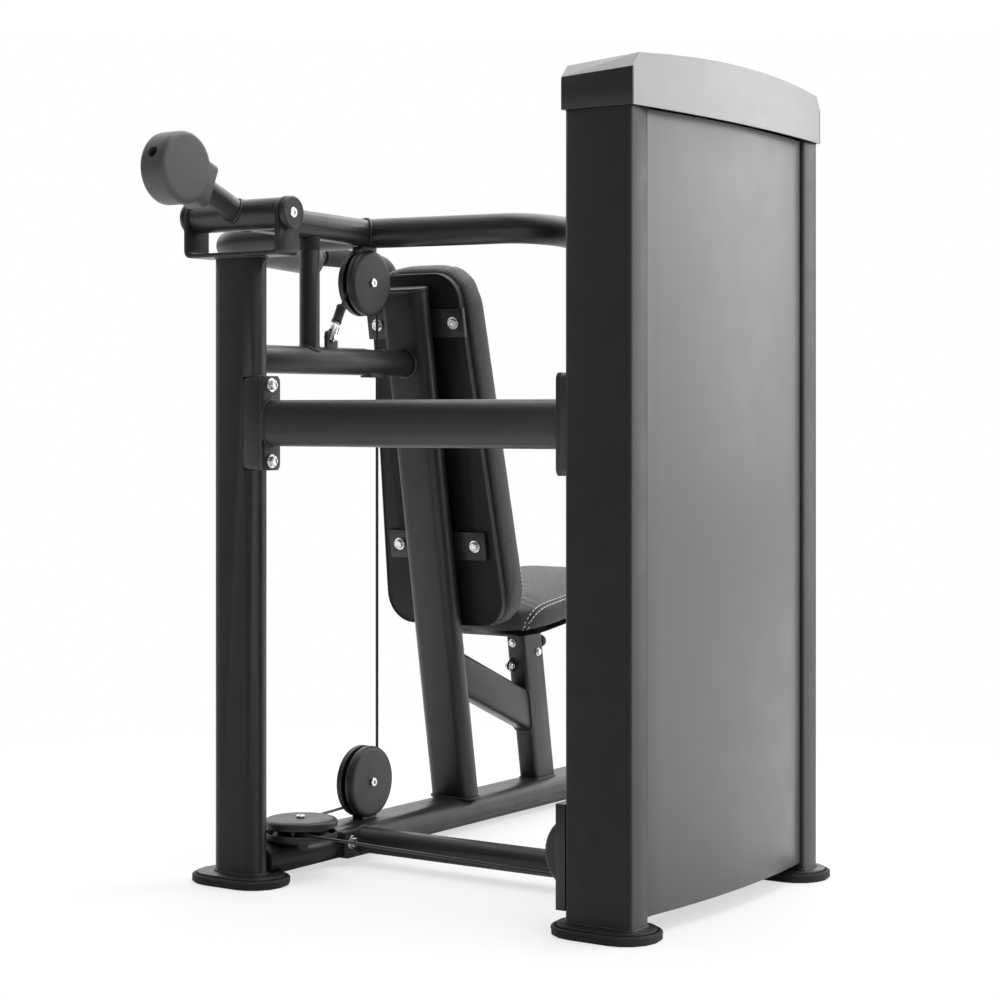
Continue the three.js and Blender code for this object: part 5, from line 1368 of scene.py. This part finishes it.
def side_seam(sizes, low, height, half, sweep, inset):
    """Aims for a seam along the sides and front that drops to the base at both rear corners."""
    around = outline(sizes, inset, SEAM_SPACING)
    rear = sizes["rear"] + sizes["corner"]
    kept = [point.y > rear or abs(point.x) > half for point, _ in around]
    first = next(number for number in range(len(around)) if kept[number] and not kept[number - 1])
    order = [(first + step) % len(around) for step in range(len(around))]
    line = [around[number] for number in order if kept[number]]
    aims = []
    for number, (point, out) in enumerate(line):
        walked = min(number, len(line) - 1 - number) * SEAM_SPACING
        share = min(1, walked / sweep)
        rise = math.sqrt(1 - (1 - share) ** 2)
        x, y = point + out * inset * (1 - rise)
        aims.append(((x, y, low + height * rise), (out.x, out.y, 0.9 * rise)))
    steps = 6
    for end, rest in ((0, aims[1:]), (-1, aims[:-1])):
        (x, y, bottom), (out_x, out_y, _) = aims[end]
        high = rest[end][0][2] - bottom
        heights = [bottom + high * step / steps for step in range(steps)]
        drop = [((x, y, z), (out_x, out_y, 0)) for z in heights]
        aims = drop + rest if end == 0 else rest + drop[::-1]
    return aims


def cushion(source, name, place, seam, board, longer=0, below=0):
    """A cushion blown up by the cloth simulation while its seam and its resting face are held."""
    settings = bpy.context.scene.press_upholstery
    piece = node_copy(source, name)
    low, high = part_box(source)
    edit(piece)
    shares = [1 - 2 * settings.shrink / side for side in high - low]
    bpy.ops.transform.resize(value=shares, center_override=(low + high) / 2)
    lengthen(piece, place, longer, below)
    round_corners(piece, place, 11)
    piece.data.remesh_voxel_size = settings.voxel
    bpy.ops.object.voxel_remesh()
    modify(piece, "SMOOTH", factor=0.5, iterations=7)
    hold(piece, place, onto(piece, place, seam), board)
    inflate(piece, settings)
    modify(piece, "SMOOTH", factor=0.5, iterations=2)
    modify(piece, "SUBSURF", levels=1, render_levels=1)
    sew(piece, onto(piece, place, seam))
    return piece


def lengthen(piece, place, longer, below):
    """Moves a pad's or board's lower end along its own Y; both numbers are in mm."""
    away = place.inverted()
    edit(piece)
    pick(piece, lambda co: (away @ co).y / MM < below)
    bpy.ops.transform.translate(value=way_of(place, 0, -1, 0) * longer * MM)
    choose(piece)


def round_corners(piece, place, width):
    """Bevels the edges that run through the thickness of a pad or board."""
    edit(piece, False)
    bpy.ops.mesh.select_mode(type="EDGE")
    up = way_of(place, 0, 0, 1)
    shape = bmesh.from_edit_mesh(piece.data)
    for side in shape.edges:
        run = (side.verts[1].co - side.verts[0].co).normalized()
        side.select = abs(run.dot(up)) > 0.3 and 0.1 < side.calc_face_angle(0) < 0.7
    bmesh.update_edit_mesh(piece.data)
    bpy.ops.mesh.bevel(offset=width * MM, segments=3, affect="EDGES", clamp_overlap=True)
    choose(piece)


def seam_tree(line):
    """The points of a seam, sorted for finding the nearest."""
    tree = KDTree(len(line))
    for number, (point, _) in enumerate(line):
        tree.insert(point, number)
    tree.balance()
    return tree


def hold(piece, place, line, board):
    """Pins the points on the seam and on the face that rests on the board."""
    near = bpy.context.scene.press_upholstery.voxel * 0.8
    away = place.inverted()
    tree = seam_tree(line)
    held = []
    for vertex in piece.data.vertices:
        if (away @ vertex.co).z / MM < board or tree.find(vertex.co)[2] < near:
            held.append(vertex.index)
    piece.vertex_groups.new(name="held").add(held, 1.0, "REPLACE")


def inflate(piece, settings):
    """Runs the cloth simulation and caps how far a point may move."""
    start = [vertex.co.copy() for vertex in piece.data.vertices]
    choose(piece)
    bpy.ops.object.modifier_add(type="CLOTH")
    cloth = piece.modifiers[-1]
    cloth.settings.use_pressure = True
    cloth.settings.uniform_pressure_force = settings.pressure
    cloth.settings.effector_weights.gravity = 0
    cloth.settings.vertex_group_mass = "held"
    cloth.point_cache.frame_start = 1
    cloth.point_cache.frame_end = settings.frames
    for step in range(1, settings.frames + 1):
        bpy.context.scene.frame_set(step)
    bpy.ops.object.modifier_apply(modifier=cloth.name)
    bpy.context.scene.frame_set(1)
    for vertex, first in zip(piece.data.vertices, start):
        move = vertex.co - first
        if move.length > settings.swell:
            vertex.co = first + move * (settings.swell / move.length)


def sew(piece, line):
    """Draws a narrow valley into a pad along a seam."""
    settings = bpy.context.scene.press_upholstery
    tree = seam_tree(line)
    moves = []
    for vertex in piece.data.vertices:
        away = tree.find(vertex.co)[2]
        if away < settings.valley:
            share = 0.5 + 0.5 * math.cos(math.pi * away / settings.valley)
            moves.append((vertex, vertex.normal * settings.depth * share))
    for vertex, move in moves:
        vertex.co -= move


def stitches(name, tree, line, closed=True):
    """Rows of single stitches at both sides of a seam."""
    settings = bpy.context.scene.press_upholstery
    pairs = list(zip(line, line[1:] + line[:1] if closed else line[1:]))
    half = settings.stitch / 2 / MM
    thick = settings.thread / MM
    profile = [(thick * 0.4, -half), (thick * 0.9, -half * 0.8), (thick, -half * 0.3)]
    profile += [(thick, half * 0.3), (thick * 0.9, half * 0.8), (thick * 0.4, half)]
    pattern = turned("stitch", Vector((0, 0, 0)), Z_WAY, profile, 6)
    step = settings.stitch + settings.stitch_gap
    copies = []
    for offset in STITCH_ROWS:
        walked = 0.0
        for (first, normal), (second, _) in pairs:
            long = (second - first).length
            way = (second - first).normalized()
            side = way.cross(normal).normalized()
            while walked < long:
                spot, out, _, _ = tree.find_nearest(first + way * walked + side * offset * MM)
                place = facing(spot + out * settings.thread * 0.35, way, out)
                copies.append(placed(pattern, "stitch", place))
                walked += step
            walked -= long
    bpy.data.objects.remove(pattern)
    return join(copies, name)


class PRESS_OT_back_pad(Operator):
    """The leather cushion of the back"""

    bl_idname = "press.back_pad"
    bl_label = "Back pad"

    def execute(self, context):
        low = lowest("back_pad", BACK)
        band = 50
        seam = edge_seam(BACK_OUTLINE, low + band, 20)
        pad = cushion("back_pad", "back_cushion", BACK, seam, low + PAD_HELD, PAD_LONGER, 445)
        for side in SIDES:
            sew(pad, onto(pad, BACK, self.band_seam(side, low, band)))
        tree = tree_of(pad)
        line = onto(pad, BACK, seam)
        done(pad, "frame", "leather", ("back_pad",), 60)
        rows = stitches("back_pad_stitches", tree, line)
        done(rows, "frame", "leather", smooth=60, paint="thread")
        return {"FINISHED"}

    def band_seam(self, side, low, height):
        """Aims for the seam that crosses the band at an upper corner."""
        spacing = 3
        heights = [low + spacing + step * spacing for step in range(height // spacing)]
        return [((side * 62, BACK_OUTLINE["front"], z), (side * 0.1, 1, 0)) for z in heights]


class PRESS_OT_seat_pad(Operator):
    """The leather cushion of the seat"""

    bl_idname = "press.seat_pad"
    bl_label = "Seat pad"

    def execute(self, context):
        low = lowest("seat_pad", SEAT)
        seam = side_seam(SEAT_OUTLINE, low + 3, height=39, half=108, sweep=52, inset=18)
        pad = cushion("seat_pad", "seat_cushion", SEAT, seam, low + PAD_HELD)
        tree = tree_of(pad)
        line = onto(pad, SEAT, seam)
        done(pad, "seat", "leather", ("seat_pad",), 60)
        rows = stitches("seat_pad_stitches", tree, line, closed=False)
        done(rows, "seat", "leather", smooth=60, paint="thread")
        return {"FINISHED"}


class PRESS_OT_bolts(Operator):
    """Bright hexagon bolts on washers"""

    bl_idname = "press.bolts"
    bl_label = "Bolts"

    def execute(self, context):
        pattern = self.pattern()
        for name, bolts, size in (
            ("upper_beam_bolts", UPPER_BOLTS, 1.0),
            ("base_tube_bolts", BASE_BOLTS, 1.0),
            ("pad_bolts", PAD_BOLTS, 1.0),
            ("seat_post_bolts", SEAT_BOLTS + LUG_BOLTS, SMALL_BOLT),
        ):
            places = [
                facing(point, way, Z_WAY if abs(way.x) == 1 else X_WAY) for point, way in bolts
            ]
            copies = [placed(pattern, name, place @ Matrix.Scale(size, 4)) for place in places]
            done(join(copies, name), "frame", "zinc", smooth=30)
        bpy.data.objects.remove(pattern)
        return {"FINISHED"}

    def pattern(self):
        """A washer and a chamfered hexagon head, standing on the origin."""
        origin = Vector((0, 0, 0))
        profile = [(5, 0), (12.4, 0), (13.2, 0.5), (13.2, 2.0), (12.6, 2.5), (5, 2.5)]
        washer = turned("washer", origin, Z_WAY, profile, 40)
        profile = [(9.4, 2.5), (10.2, 2.7), (10.2, 8.4), (8.6, 9.4), (6.2, 9.4), (5.6, 8.9)]
        head = turned("head", origin, Z_WAY, [*profile, (0.4, 8.9)], 6)
        round_edges(head, 0.35 * MM, 2, 25)
        return join([washer, head], "bolt_pattern")


class PRESS_PT_panel(Panel):
    """Sizes, colours and steps of the shoulder press machine"""

    bl_idname = "PRESS_PT_panel"
    bl_label = "Shoulder press machine"
    bl_space_type = "VIEW_3D"
    bl_region_type = "UI"
    bl_category = "Press"

    def draw(self, context):
        for group in SETTINGS:
            box = self.layout.box()
            settings = getattr(context.scene, group)
            for name in settings.__annotations__:
                box.prop(settings, name)
        for operator in OPERATORS:
            self.layout.operator(operator.bl_idname)


SETTINGS = {
    "press_finish": FinishSettings,
    "press_frame": FrameSettings,
    "press_upholstery": UpholsterySettings,
    "press_stage": StageSettings,
}
OPERATORS = (
    PRESS_OT_stage,
    PRESS_OT_frame_tubes,
    PRESS_OT_small_parts,
    PRESS_OT_counterweight,
    PRESS_OT_pivot_ends,
    PRESS_OT_pulley_covers,
    PRESS_OT_cable_fitting,
    PRESS_OT_seat_collar,
    PRESS_OT_seat_slide,
    PRESS_OT_seat_lock,
    PRESS_OT_press_bow,
    PRESS_OT_hand_grips,
    PRESS_OT_welds,
    PRESS_OT_cable,
    PRESS_OT_bolts,
    PRESS_OT_back_pad,
    PRESS_OT_seat_pad,
)
CLASSES = (*SETTINGS.values(), *OPERATORS, PRESS_PT_panel)


def register():
    for made in CLASSES:
        bpy.utils.register_class(made)
    for name, group in SETTINGS.items():
        setattr(bpy.types.Scene, name, PointerProperty(type=group))


def unregister():
    for name in SETTINGS:
        delattr(bpy.types.Scene, name)
    for made in reversed(CLASSES):
        bpy.utils.unregister_class(made)


def main():
    register()
    make_materials()
    for operator in OPERATORS:
        category, name = operator.bl_idname.split(".")
        getattr(getattr(bpy.ops, category), name)()
    choose(None)


if __name__ == "__main__":
    main()
